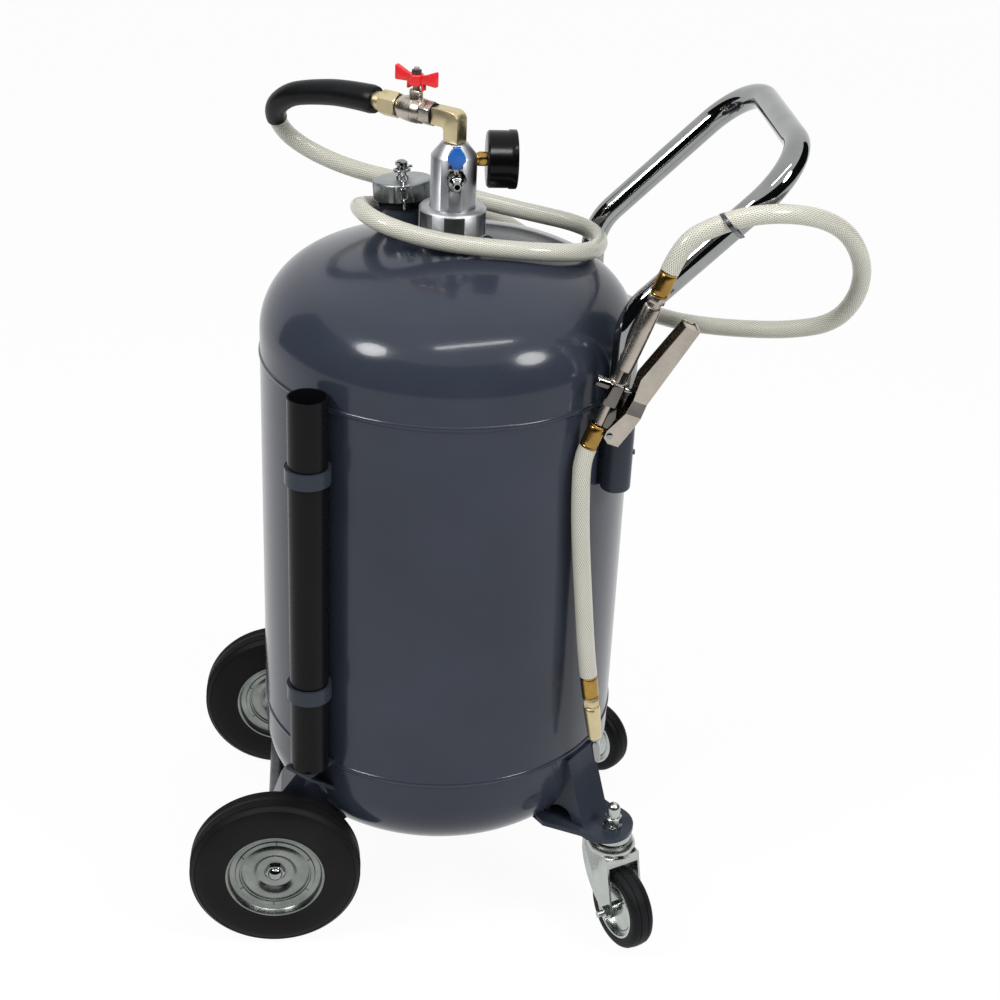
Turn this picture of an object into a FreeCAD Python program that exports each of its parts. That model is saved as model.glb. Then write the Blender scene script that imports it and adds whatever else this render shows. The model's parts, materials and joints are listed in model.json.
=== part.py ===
import FreeCAD, Part
import math
import os

os.makedirs("parts", exist_ok=True)
Vec = FreeCAD.Vector

# Wheeled pressure dispenser: a painted tank on two wheels and two casters,
# with a push handle, a ball valve and gauge on top, and two hoses with a hand gun.
# All pieces are drawn round the tank axis, floor at height zero, the push
# handle and the casters towards +X, the gun and the hose holder towards -Y.

# Tank
tank_radius = 210.0
tank_wall = 3.0
seam_low = 237.0
seam_high = 687.0
head_skirt = 24.0
head_depth = 34.0
crown_radius = 420.0
knuckle_radius = 80.0
bead_half_width = 3.0
bead_height = 1.6

# Middle neck, nut and adaptor
neck_radius = 30.0
neck_bore = 24.0
neck_foot = 800.0
neck_top = 846.0
nut_radius = 36.5
nut_foot = 824.0
nut_top = 855.0
nut_flats = 6
nut_flat_width = 22.0
nut_flat_depth = 3.5
adaptor_radius = 25.0
adaptor_shoulder = 911.0
adaptor_top = 925.0
adaptor_neck = 14.0
collar_thickness = 5.0
fluid_bore = 6.0
dip_radius = 8.0
dip_foot = 110.0
dip_top = 872.0
thread_gap = 0.05

# Outlet elbow and ball valve
elbow_rise = 25.0
valve_height = adaptor_top + elbow_rise
valve_turn = 141.5
elbow_width = 24.0
elbow_reach = 30.0
elbow_round = 13.0
elbow_edge = 2.5
valve_length = 43.0
valve_flats = 25.0
valve_hex = 12.0
valve_radius = 13.0
stem_along = 51.5
stem_radius = 4.0
stem_boss_radius = 7.5
stem_boss_rise = 22.0
stem_boss_top = valve_height + stem_boss_rise
ball_radius = 9.0
running_gap = 0.05
wing_span = 54.0
wing_tip_radius = 7.5
wing_thickness = 5.0
wing_hub_radius = 8.0
hub_gap = 5.0
hub_length = 12.0
hub_foot = stem_boss_top + hub_gap
hub_top = hub_foot + hub_length
wing_height = hub_top - 5.0
stem_screw_radius = 3.0
small_nut_flats = 11.0
small_nut_height = 6.0
nipple_hex = 22.0
nipple_collar_radius = 10.0
nipple_collar = 10.0
guard_start_radius = 16.0
guard_end_radius = 12.0
guard_corners = 4

# Air inlet and gauge
inlet_height = 895.0
inlet_socket_radius = 7.0
inlet_depth = 20.0
inlet_hex_flats = 20.0
inlet_hex_start = 26.0
inlet_hex_end = 36.0
inlet_body_radius = 8.5
inlet_body_end = 46.0
nipple_tip = 60.0
nipple_radius = 5.5
nipple_neck_radius = 4.2
nipple_hole = 3.0
air_stem_along = 38.0
air_stem_radius = 3.0
air_handle_foot = 907.5
air_handle_top = 931.0
air_handle_width = 19.0
air_handle_depth = 9.0
gauge_height = 907.0
gauge_fitting_radius = 6.5
gauge_fitting_flats = 14.0
gauge_back = 35.0
gauge_front = 67.0
gauge_radius = 31.6
gauge_wall = 2.0
gauge_rim = 3.0
lens_thickness = 2.0
dial_thickness = 1.0

# Filler neck, cap and relief post
filler_foot = (-48.0, 58.0, 809.8)
filler_lean = 7.0
filler_heading = 130.0
filler_neck_radius = 25.0
filler_neck_bore = 20.0
filler_neck_below = 14.0
filler_band_radius = 28.0
filler_band_foot = 25.0
cap_radius = 33.5
cap_foot = 33.0
cap_top = 54.0
cap_gap = 0.4
cap_roof = 6.0
cap_corner = 3.0
cap_grips = 12
post_radius = 6.0
post_head_radius = 7.0
post_height = 21.0
post_root = 5.0
post_pin_reach = 12.0
chain_wire = 1.0
chain_link_length = 12.0
chain_link_width = 7.0
chain_pitch = 7.8
chain_links = 6

# Holder tube and its brackets
holder_distance = 233.0
holder_angle = -132.0
holder_radius = 21.6
holder_wall = 1.8
holder_foot = 244.0
holder_top = 707.0
clamp_radius = 25.0
clamp_width = 18.0
clamp_heights = (338.0, 609.0)
clamp_web_half = 12.0
foot_half_width = 17.0
foot_plate = 4.0
foot_drop = 38.0

# Push handle and its sockets
handle_tube = 14.0
handle_wall = 2.0
handle_leg_x = 177.0
handle_half_width = 140.0
handle_foot = 590.0
handle_rake_start = 784.5
handle_grip_x = 349.1
handle_bend = 70.0
socket_radius = 16.75
socket_floor = 7.0
socket_top = 660.0
socket_round = 4.5
socket_gap = 0.1
socket_pad_half = 13.0
set_screw_height = 627.0
set_screw_radius = 3.0
set_screw_head = 1.8

# Hand gun, measured down its axis from the swivel end
gun_stand_off = 35.0
gun_plane = -handle_half_width - gun_stand_off
gun_top = (196.0, 811.2)
gun_slope = (0.335, 0.9422)
swivel_length = 12.0
swivel_flats = 19.0
ferrule_radius = 9.8
ferrule_length = 28.0
gun_tube_radius = 9.5
gun_tube_end = 75.0
gun_waist_radius = 8.0
gun_collar_start = 88.0
gun_collar_end = 91.0
gun_block_end = 117.0
gun_block_half = 9.0
gun_spigot_radius = 6.0
gun_spigot_end = 142.0
cross_along = 96.0
cross_radius = 6.5
cross_reach = 23.0
plunger_radius = 3.0
plunger_depth = 15.0
plunger_gap = 0.06
plunger_play = 1.0
lever_pivot_along = 147.0
lever_pivot_side = 13.5
lever_lug_half = 7.0
lever_inner_half = 10.2
lever_sheet = 1.6
pivot_radius = 2.6
pivot_head_radius = 4.6
pivot_head = 2.2

# Outlet nozzle, in the plane of the gun
nozzle_top = (157.9, 362.7)
nozzle_slope = (-0.15, 0.9887)
nozzle_ferrule_length = 30.0
nozzle_hex_flats = 17.0
nozzle_hex_length = 12.0
nozzle_shoulder = 9.6
nozzle_body_end = 86.0
nozzle_tip_end = 120.0
nozzle_bore = 4.0

# Hoses: outside radius and hand-chosen corners of their routes
hose_radius = 10.0
hose_wall = 3.5
delivery_points = [
    (-153, 117, 943),
    (-178, 133, 935),
    (-196, 156, 912),
    (-186, 175, 881),
    (-159, 177, 859),
    (-120, 166, 844),
    (-77, 148, 837),
    (-18, 129, 832),
    (39, 118, 820),
    (97, 115, 807),
    (146, 110, 798),
    (169, 87, 795),
    (172, 46, 795),
    (152, -4, 804),
    (112, -37, 815),
    (49, -50, 823.5),
    (-16, -50, 831),
    (-60, -43, 841),
    (-88, -24, 847),
    (-101, 14, 846),
    (-99, 58, 833),
    (-78, 98, 820),
    (-40, 136, 809),
    (10, 168, 799),
    (66, 198, 772),
    (118, 208, 735),
    (165, 202, 702),
    (207, 180, 680),
    (243, 143, 675),
    (270, 92, 684),
    (300, 50, 695),
    (339, 12, 707),
    (383, -18, 719),
    (423, -44, 738),
    (440, -65, 775),
    (438, -84, 819),
    (414, -108, 862),
    (379, -136, 891),
    (333, -163, 908),
    (288, -170, 908),
    (251, -171, 896),
]
outlet_points = [
    (133.5, -178.5, 607),
    (136, -177, 560),
    (141.5, -175, 503),
    (147, -175, 452),
]
nipple_run = 42.0
exit_run = 33.0
short_exit_run = 15.0

# Hose clip: how far up the slope of the near handle leg it sits
clip_leg_x = 277.0
clip_width = 7.0
clip_sheet = 1.5
clip_leg_bore = 15.4
clip_hose_bore = 11.6

# Rear wheels and axle
wheel_x = -197.0
wheel_radius = 100.0
wheel_plane = 179.0
tyre_half = 21.0
tyre_bore = 56.0
tyre_shoulder = 8.0
groove_depth = 1.2
groove_half = 0.8
groove_places = (-15.0, -10.0, -5.0, 0.0, 5.0, 10.0, 15.0)
rim_sheet = 2.4
rim_half = 20.3
rim_lip = 57.5
hub_radius = 14.0
axle_radius = 8.0
axle_tube_radius = 11.0
axle_end = 193.0
axle_tube_half = 155.0
axle_nut_radius = 8.5
axle_nut_flats = 20.0
axle_nut_base = 5.0
axle_nut_start = 187.3
axle_nut_end = 199.0
bracket_sheet = 4.0
rear_plate_near = 150.0
rear_plate_far = 106.0

# Casters
caster_stem_x = 201.0
caster_stem_y = 172.0
caster_turn_left = 25.0
caster_turn_right = 46.0
caster_trail = 35.0
caster_radius = 50.0
caster_half = 14.0
caster_rim = 36.0
caster_hub_radius = 9.0
caster_axle_radius = 4.0
caster_plate_foot = 140.0
caster_plate_top = 146.0
kingpin_radius = 6.0
kingpin_head = 9.5
kingpin_tip = 179.0
race_radius = 29.0
race_top = 130.0
race_gap = 0.4
upper_race_radius = 23.0
fork_half_width = 22.5
fork_sheet = 2.5
fork_crown_top = 119.0
fork_reach = 27.0


def disc(radius, length, at=(0, 0, 0), axis=(0, 0, 1)):
    return Part.makeCylinder(radius, length, Vec(*at), Vec(*axis))


def pipe(outer, inner, length, at=(0, 0, 0), axis=(0, 0, 1)):
    return disc(outer, length, at, axis).cut(disc(inner, length, at, axis))


def block(low, high):
    size = [b - a for a, b in zip(low, high)]
    return Part.makeBox(size[0], size[1], size[2], Vec(*low))


def outline(points):
    """Closed face in the XY plane; a corner given with four numbers ends an arc through its first two."""
    edges = []
    start = Vec(*points[-1][-2:], 0)
    for point in points:
        end = Vec(*point[-2:], 0)
        if len(point) == 4:
            edges.append(Part.Arc(start, Vec(point[0], point[1], 0), end).toShape())
        elif (end - start).Length > 1e-7:
            edges.append(Part.LineSegment(start, end).toShape())
        start = end
    return Part.Face(Part.Wire(edges))


def turned(points):
    """Solid of revolution about Z from corners given as radius and height."""
    face = outline(points)
    face.rotate(Vec(0, 0, 0), Vec(1, 0, 0), 90)
    return face.revolve(Vec(0, 0, 0), Vec(0, 0, 1), 360)


def dome(radius, foot, top):
    """Arc of a round end, from its rim to its top on the axis."""
    rise = top - foot
    sphere = (radius ** 2 + rise ** 2) / (2 * rise)
    half = math.asin(radius / sphere) / 2
    return (sphere * math.sin(half), top - sphere * (1 - math.cos(half)), 0, top)


def prism(points, length):
    return outline(points).extrude(Vec(0, 0, length))


def placed(shape, at, z_axis, x_axis):
    """The shape moved from its own frame to a place given by its origin, Z and X directions."""
    rotation = FreeCAD.Rotation(Vec(*x_axis), Vec(0, 0, 0), Vec(*z_axis), "ZXY")
    moved = shape.copy()
    moved.Placement = FreeCAD.Placement(Vec(*at), rotation).multiply(moved.Placement)
    return moved


def hexagon(flats, length, corner_cut=0.0):
    radius = flats / math.sqrt(3)
    angles = [math.radians(60 * i) for i in range(6)]
    bar = prism([(radius * math.cos(a), radius * math.sin(a)) for a in angles], length)
    if corner_cut:
        low = flats / 2
        keep = turned([
            (0, 0),
            (low, 0),
            (radius, corner_cut),
            (radius, length - corner_cut),
            (low, length),
            (0, length),
        ])
        bar = bar.common(keep)
    return bar


def far_side(shape):
    return shape.mirror(Vec(0, 0, 0), Vec(0, 1, 0))


def joined(shapes):
    whole = shapes[0]
    for shape in shapes[1:]:
        whole = whole.fuse(shape)
    return whole.removeSplitter()


def head_corners(offset):
    """Heights and radii of the head form above its tangent line, moved inwards by the offset."""
    side = tank_radius - knuckle_radius
    drop = math.sqrt((crown_radius - knuckle_radius) ** 2 - side ** 2)
    lean = math.asin(side / (crown_radius - knuckle_radius))
    knuckle = knuckle_radius - offset
    crown = crown_radius - offset
    half = math.radians(90) / 2 + lean / 2
    return [
        (side + knuckle, 0),
        (side + knuckle * math.sin(half), knuckle * math.cos(half)),
        (side + knuckle * math.sin(lean), knuckle * math.cos(lean)),
        (crown * math.sin(lean / 2), crown * math.cos(lean / 2) - drop),
        (0, crown - drop),
    ]


def head_profile(base, tangent, sign):
    outer = [(r, tangent + sign * z) for r, z in head_corners(0)]
    inner = [(r, tangent + sign * z) for r, z in head_corners(tank_wall)]
    return [
        (inner[0][0], base),
        (outer[0][0], base),
        outer[0],
        outer[1] + outer[2],
        outer[3] + outer[4],
        inner[4],
        inner[3] + inner[2],
        inner[1] + inner[0],
    ]


def tank_envelope():
    top = [(r, seam_high + head_skirt + z) for r, z in head_corners(0)]
    low = [(r, seam_low - head_depth - z) for r, z in head_corners(0)]
    return turned([low[4], low[3] + low[2], low[1] + low[0], top[0], top[1] + top[2], top[3] + top[4]])


pieces = {}
envelope = tank_envelope()

# Tank shell with its two weld beads
shell = pipe(tank_radius, tank_radius - tank_wall, seam_high - seam_low, (0, 0, seam_low))
for seam in (seam_low, seam_high):
    bead = turned([
        (tank_radius, seam - bead_half_width),
        (tank_radius + bead_height, seam, tank_radius, seam + bead_half_width),
    ])
    shell = shell.fuse(bead)
pieces["tank_shell"] = shell

# Filler neck place
lean = math.radians(filler_lean)
heading = math.radians(filler_heading)
filler_axis = (math.sin(lean) * math.cos(heading), math.sin(lean) * math.sin(heading), math.cos(lean))
filler_side = (math.cos(lean), 0, -filler_axis[0])


def on_filler(shape):
    return placed(shape, filler_foot, filler_axis, filler_side)


# Heads: the top one is open at the two necks and carries a small wire eye
top_head = turned(head_profile(seam_high, seam_high + head_skirt, 1))
top_head = top_head.cut(disc(neck_radius, 60, (0, 0, neck_foot)))
top_head = top_head.cut(on_filler(disc(filler_neck_radius, 60, (0, 0, -30))))
eye = Part.makeTorus(6, 1.3, Vec(39, -12, 818), Vec(0.25, 1, 0)).cut(envelope)
pieces["top_head"] = top_head.fuse(eye)
pieces["bottom_head"] = turned(head_profile(seam_low, seam_low - head_depth, -1))

pieces["centre_neck"] = pipe(neck_radius, neck_bore, neck_top - neck_foot, (0, 0, neck_foot))
filler_neck_top = cap_top - cap_roof - cap_gap
filler_neck = pipe(filler_neck_radius, filler_neck_bore, filler_neck_top + filler_neck_below,
                   (0, 0, -filler_neck_below))
band_height = cap_foot - cap_gap - filler_band_foot
band = pipe(filler_band_radius, filler_neck_radius, band_height, (0, 0, filler_band_foot))
pieces["filler_neck"] = on_filler(filler_neck.fuse(band))

# Slotted ring nut that holds the adaptor on the neck
collar_top = neck_top + collar_thickness
bevel = 2.5
nut = turned([
    (neck_radius + thread_gap, nut_foot),
    (nut_radius - 1, nut_foot),
    (nut_radius, nut_foot + 1),
    (nut_radius, nut_top - bevel),
    (nut_radius - bevel, nut_top),
    (adaptor_radius + 0.5, nut_top),
    (adaptor_radius + 0.5, collar_top + thread_gap),
    (neck_radius + thread_gap, collar_top + thread_gap),
])
for i in range(nut_flats):
    flat = block((nut_radius - nut_flat_depth, -nut_flat_width / 2, nut_foot),
                 (nut_radius + 5, nut_flat_width / 2, nut_top - 4))
    flat.rotate(Vec(0, 0, 0), Vec(0, 0, 1), -90 + i * 360 / nut_flats)
    nut = nut.cut(flat)
pieces["ring_nut"] = nut

# Outlet valve axis, level with the elbow
turn = math.radians(valve_turn)
valve_axis = (math.cos(turn), math.sin(turn), 0)
valve_side = (-math.sin(turn), math.cos(turn), 0)


def on_valve(shape, along=0.0):
    """The shape with its own Z along the valve axis and its own X upwards."""
    at = (valve_axis[0] * along, valve_axis[1] * along, valve_height)
    return placed(shape, at, valve_axis, (0, 0, 1))


# Adaptor body with its sockets for the inlet and the gauge
adaptor = turned([
    (fluid_bore, neck_top),
    (neck_radius - 0.5, neck_top),
    (neck_radius - 0.5, collar_top),
    (adaptor_radius, collar_top),
    (adaptor_radius, adaptor_shoulder),
    (adaptor_neck, adaptor_top),
    (fluid_bore, adaptor_top),
])
adaptor = adaptor.cut(disc(dip_radius, dip_top - neck_top, (0, 0, neck_top)))
adaptor = adaptor.cut(disc(inlet_socket_radius, adaptor_radius - 10, (0, -10, inlet_height), (0, -1, 0)))
adaptor = adaptor.cut(disc(nipple_hole, 12, (0, 0, inlet_height), (0, -1, 0)))
adaptor = adaptor.cut(disc(gauge_fitting_radius, adaptor_radius - 15, (15, 0, gauge_height), (1, 0, 0)))
pieces["adaptor_body"] = adaptor
pieces["dip_tube"] = pipe(dip_radius, dip_radius - 1.5, dip_top - dip_foot, (0, 0, dip_foot))

# Elbow: a square bar bent from upright to the valve axis
half = elbow_width / 2
elbow = outline([
    (adaptor_top, -half),
    (valve_height + half - elbow_round, -half),
    (valve_height + half - elbow_round * (1 - math.sqrt(0.5)), -half + elbow_round * (1 - math.sqrt(0.5)),
     valve_height + half, -half + elbow_round),
    (valve_height + half, elbow_reach),
    (valve_height - half, elbow_reach),
    (valve_height - half, half),
    (adaptor_top, half),
])
elbow = elbow.extrude(Vec(0, 0, elbow_width))
elbow.translate(Vec(-valve_height, 0, -half))
elbow_foot = adaptor_top - valve_height
long_edges = []
for edge in elbow.Edges:
    at = edge.CenterOfMass
    on_side = abs(abs(at.z) - half) < 0.01
    on_end = abs(at.x - elbow_foot) < 0.01 or abs(at.y - elbow_reach) < 0.01
    if on_side and not on_end:
        long_edges.append(edge)
elbow = elbow.makeChamfer(elbow_edge, long_edges)
elbow = elbow.cut(disc(fluid_bore, fluid_bore - elbow_foot, (elbow_foot, 0, 0), (1, 0, 0)))
elbow = elbow.cut(disc(fluid_bore, elbow_reach, (0, 0, 0), (0, 1, 0)))
pieces["outlet_elbow"] = placed(elbow, (0, 0, valve_height), valve_side, (0, 0, 1))

# Ball valve body, ball with stem, butterfly handle and its nut
valve_start = elbow_reach
valve_end = valve_start + valve_length
body = on_valve(hexagon(valve_flats, valve_hex, 2), valve_start)
body = body.fuse(on_valve(disc(valve_radius, valve_length - 2 * valve_hex), valve_start + valve_hex))
body = body.fuse(on_valve(hexagon(valve_flats, valve_hex, 2), valve_end - valve_hex))
stem_at = (valve_axis[0] * stem_along, valve_axis[1] * stem_along, valve_height)
body = body.fuse(disc(stem_boss_radius, stem_boss_top - valve_height, stem_at))
body = body.cut(Part.makeSphere(ball_radius + running_gap, Vec(*stem_at)))
body = body.cut(disc(stem_radius + running_gap, stem_boss_top - valve_height, stem_at))
body = body.cut(on_valve(disc(fluid_bore - 1, valve_length), valve_start))
pieces["ball_valve_body"] = body

ball = Part.makeSphere(ball_radius, Vec(*stem_at)).fuse(disc(stem_radius, hub_foot - valve_height, stem_at))
ball = ball.fuse(disc(stem_screw_radius, hub_top + small_nut_height + 1 - valve_height, stem_at))
pieces["valve_ball"] = ball.cut(on_valve(disc(fluid_bore - 1, 2 * ball_radius), stem_along - ball_radius))

tip = wing_span / 2 - wing_tip_radius
wings = [disc(wing_hub_radius, hub_top - hub_foot, (0, 0, hub_foot))]
for side in (-1, 1):
    wing = outline([
        (side * 3, hub_foot + 1),
        (side * tip, wing_height - wing_tip_radius),
        (side * (tip + wing_tip_radius), wing_height, side * tip, wing_height + wing_tip_radius),
        (side * 3, hub_top - 1),
    ])
    wing = wing.extrude(Vec(0, 0, wing_thickness))
    wing.translate(Vec(0, 0, -wing_thickness / 2))
    wing.rotate(Vec(0, 0, 0), Vec(1, 0, 0), 90)
    wings.append(wing)
wings = joined(wings).cut(disc(stem_screw_radius, 30, (0, 0, hub_foot)))
wings.rotate(Vec(0, 0, 0), Vec(0, 0, 1), valve_turn)
wings.translate(Vec(stem_at[0], stem_at[1], 0))
pieces["butterfly_handle"] = wings
nut = hexagon(small_nut_flats, small_nut_height, 0.8).cut(disc(stem_screw_radius, small_nut_height))
nut.translate(Vec(stem_at[0], stem_at[1], hub_top))
pieces["handle_nut"] = nut

nipple_end = valve_end + nipple_hex + nipple_collar
nipple = hexagon(valve_flats, nipple_hex, 2).fuse(disc(nipple_collar_radius, nipple_hex + nipple_collar))
pieces["hose_nipple"] = on_valve(nipple.cut(disc(fluid_bore - 1, 60)), valve_end)

# Air inlet: body, blue handle and plug nipple, all pointing to -Y
inlet_axis = (0, -1, 0)


def on_inlet(shape, along):
    return placed(shape, (0, -along, inlet_height), inlet_axis, (0, 0, 1))


body = on_inlet(disc(inlet_socket_radius, inlet_hex_start - inlet_depth), inlet_depth)
body = body.fuse(on_inlet(hexagon(inlet_hex_flats, inlet_hex_end - inlet_hex_start, 1.5), inlet_hex_start))
body = body.fuse(on_inlet(disc(inlet_body_radius, inlet_body_end - inlet_hex_end), inlet_hex_end))
air_stem_at = (0, -air_stem_along, inlet_height)
body = body.cut(disc(air_stem_radius + running_gap, inlet_hex_flats, air_stem_at))
pieces["air_valve_body"] = body.cut(on_inlet(disc(nipple_hole, 60), inlet_depth - 10))

stem = disc(air_stem_radius, air_handle_foot - inlet_height - 0.5, (0, -air_stem_along, inlet_height + 0.5))
depth = air_handle_depth / 2
wedge = outline([
    (-4, air_handle_foot),
    (4, air_handle_foot),
    (air_handle_width / 2, air_handle_foot + 8),
    (air_handle_width / 2 - 3.5, air_handle_foot + 15),
    (3.5, air_handle_top),
    (-3.5, air_handle_top),
    (3.5 - air_handle_width / 2, air_handle_foot + 15),
    (-air_handle_width / 2, air_handle_foot + 8),
])
wedge = wedge.extrude(Vec(0, 0, air_handle_depth))
wedge.rotate(Vec(0, 0, 0), Vec(1, 0, 0), 90)
wedge.translate(Vec(0, depth - air_stem_along, 0))
pieces["air_valve_handle"] = stem.fuse(wedge)

plug = turned([
    (nipple_hole, 0),
    (inlet_body_radius - 0.5, 0),
    (inlet_body_radius - 0.5, 2),
    (nipple_radius, 2.5),
    (nipple_radius, 6),
    (nipple_neck_radius, 7),
    (nipple_neck_radius, 9),
    (nipple_radius, 10),
    (nipple_radius, 12),
    (nipple_neck_radius, 14),
    (nipple_hole, 14),
])
pieces["air_nipple"] = on_inlet(plug, inlet_body_end)

# Pressure gauge on a brass fitting, its face towards +X


def on_gauge(shape, along):
    return placed(shape, (along, 0, gauge_height), (1, 0, 0), (0, 0, 1))


fitting = on_gauge(disc(gauge_fitting_radius, adaptor_radius - 20), 20)
collar = hexagon(gauge_fitting_flats, gauge_back - adaptor_radius, 1.5)
fitting = fitting.fuse(on_gauge(collar, adaptor_radius))
pieces["gauge_fitting"] = fitting.cut(on_gauge(disc(2, 20), 20))
gauge_depth = gauge_front - gauge_back
dial_at = gauge_depth - 11
inner = gauge_radius - gauge_wall
case = turned([
    (0, 0),
    (gauge_radius - 3, 0),
    (gauge_radius - 1, 2),
    (gauge_radius - 1, gauge_depth - 9),
    (gauge_radius, gauge_depth - 8),
    (gauge_radius, gauge_depth - 1),
    (gauge_radius - 1, gauge_depth),
    (inner - gauge_rim, gauge_depth),
    (inner - gauge_rim, gauge_depth - 2),
    (inner, gauge_depth - 2),
    (inner, 3),
    (0, 3),
])
dial = pipe(inner, 1.0, dial_thickness, (0, 0, dial_at))
case = case.fuse(disc(5, dial_at - 2, (0, 0, 2)))
pieces["gauge_case"] = on_gauge(case, gauge_back)
pieces["gauge_dial"] = on_gauge(dial, gauge_back)
lens = disc(inner, lens_thickness, (0, 0, gauge_depth - 2 - lens_thickness))
pieces["gauge_lens"] = on_gauge(lens, gauge_back)
pointer = turned([(0, -2), (1 - running_gap, -2), (1 - running_gap, 1.6), (3, 1.6), (3, 3.2), (0, 3.2)])
needle = prism([(-2.2, -8), (2.2, -8), (0.7, 22), (-0.7, 22)], 0.8)
needle.rotate(Vec(0, 0, 0), Vec(0, 0, 1), 45)
needle.translate(Vec(0, 0, 2))
pointer = pointer.fuse(needle)
pointer.translate(Vec(0, 0, dial_at))
case_bore = on_gauge(disc(1, 2.5, (0, 0, dial_at - 2.2)), gauge_back)
pieces["gauge_case"] = pieces["gauge_case"].cut(case_bore)
pieces["gauge_pointer"] = on_gauge(pointer, gauge_back)

# Filler cap, relief post and safety chain
cap = turned([
    (0, cap_top - cap_roof),
    (filler_neck_radius + cap_gap, cap_top - cap_roof),
    (filler_neck_radius + cap_gap, cap_foot),
    (cap_radius - 1, cap_foot),
    (cap_radius, cap_foot + 1),
    (cap_radius, cap_top - cap_corner),
    (cap_radius - 0.3 * cap_corner, cap_top - 0.3 * cap_corner, cap_radius - cap_corner, cap_top),
    (0, cap_top),
])
for i in range(cap_grips):
    grip = disc(2.2, 30, (cap_radius + 1.4, 0, cap_foot - 1))
    grip.rotate(Vec(0, 0, 0), Vec(0, 0, 1), (i + 0.5) * 360 / cap_grips)
    cap = cap.cut(grip)
post_foot = cap_top - post_root
pieces["filler_cap"] = on_filler(cap.cut(disc(post_radius - 1, 20, (0, 0, post_foot))))
post_top = cap_top + post_height
post = turned([
    (0, post_foot),
    (post_radius - 1, post_foot),
    (post_radius - 1, cap_top),
    (post_radius + 1, cap_top),
    (post_radius + 1, cap_top + 3),
    (post_radius - 1, cap_top + 4),
    (post_radius - 1, post_top - 7),
    (post_head_radius, post_top - 6),
    (post_head_radius, post_top - 3),
    dome(post_head_radius, post_top - 3, post_top),
])
post = post.fuse(disc(1.5, post_pin_reach, (0, 0, post_top - 8), (1, -0.1, 0)))
pieces["relief_post"] = on_filler(post)


def chain_link(centre, along, across):
    """One welded link with its length along one direction and its width across."""
    straight = chain_link_length - chain_link_width
    centre_radius = chain_link_width / 2 - chain_wire
    end = straight / 2
    corners = [Vec(x, y, 0) for x, y in ((-end, -centre_radius), (end, -centre_radius),
                                         (end, centre_radius), (-end, centre_radius))]
    tip = Vec(end + centre_radius, 0, 0)
    path = [
        Part.LineSegment(corners[0], corners[1]).toShape(),
        Part.Arc(corners[1], tip, corners[2]).toShape(),
        Part.LineSegment(corners[2], corners[3]).toShape(),
        Part.Arc(corners[3], -tip, corners[0]).toShape(),
    ]
    ring = Part.Wire(Part.makeCircle(chain_wire, Vec(0, -centre_radius, 0), Vec(1, 0, 0)))
    link = Part.Wire(path).makePipe(Part.Face(ring))
    normal = Vec(*along).cross(Vec(*across))
    return placed(link, centre, normal, along)


def route(points, bend=None):
    """Straight runs joined by tangent arcs; without a bend radius each arc follows its shorter run."""
    points = [Vec(*p) for p in points]
    edges = []
    radii = []
    start = points[0]
    for before, corner, after in zip(points, points[1:], points[2:]):
        back = before - corner
        ahead = after - corner
        shorter = min(back.Length, ahead.Length)
        back.normalize()
        ahead.normalize()
        half_open = back.getAngle(ahead) / 2
        radius = bend if bend else 0.45 * shorter * math.tan(half_open)
        cut_back = radius / math.tan(half_open)
        middle = back + ahead
        middle.normalize()
        arc_start = corner + back * cut_back
        arc_end = corner + ahead * cut_back
        arc_middle = corner + middle * (radius / math.sin(half_open) - radius)
        edges.append(Part.LineSegment(start, arc_start).toShape())
        edges.append(Part.Arc(arc_start, arc_middle, arc_end).toShape())
        radii.append(radius)
        start = arc_end
    edges.append(Part.LineSegment(start, points[-1]).toShape())
    return edges, radii


def ring_at(edge, place, radius):
    at = edge.valueAt(place)
    return Part.Wire(Part.makeCircle(radius, at, edge.tangentAt(place)))


def swept(edges, radius, end_radius=None):
    """Round bar along a route, tapered where an end radius is given."""
    shell = Part.BRepOffsetAPI.MakePipeShell(Part.Wire(edges))
    shell.add(ring_at(edges[0], edges[0].FirstParameter, radius))
    if end_radius:
        shell.add(ring_at(edges[-1], edges[-1].LastParameter, end_radius))
    shell.build()
    shell.makeSolid()
    return shell.shape()


# Safety chain: a ring round the post and links over the front edge of the cap
ring_height = cap_top + 9.5
front = cap_radius + 5.0
chain_path, chain_bends = route([
    (0, -post_radius - 1.5, ring_height - 0.5),
    (0, -front, cap_top + 5.0),
    (0, -front, cap_top + 5.0 - (chain_links + 2) * chain_pitch + front),
], 9)
chain_wire_path = Part.Wire(chain_path)
stops = chain_wire_path.discretize(Number=int(chain_wire_path.Length / chain_pitch) + 1)
links = [Part.makeTorus(post_radius + 0.8, chain_wire, Vec(0, 0, ring_height), Vec(0, 0, 1))]
for i, (a, b) in enumerate(zip(stops, stops[1:])):
    across = (0, b.z - a.z, a.y - b.y) if i % 2 else (1, 0, 0)
    links.append(chain_link(tuple((a + b) / 2), tuple(b - a), across))
pieces["safety_chain"] = on_filler(Part.makeCompound(links))

# Holder tube, its two ring clamps and its foot, drawn along +X and turned to place


def at_holder(shape):
    turned_shape = shape.copy()
    turned_shape.rotate(Vec(0, 0, 0), Vec(0, 0, 1), holder_angle)
    return turned_shape


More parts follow.
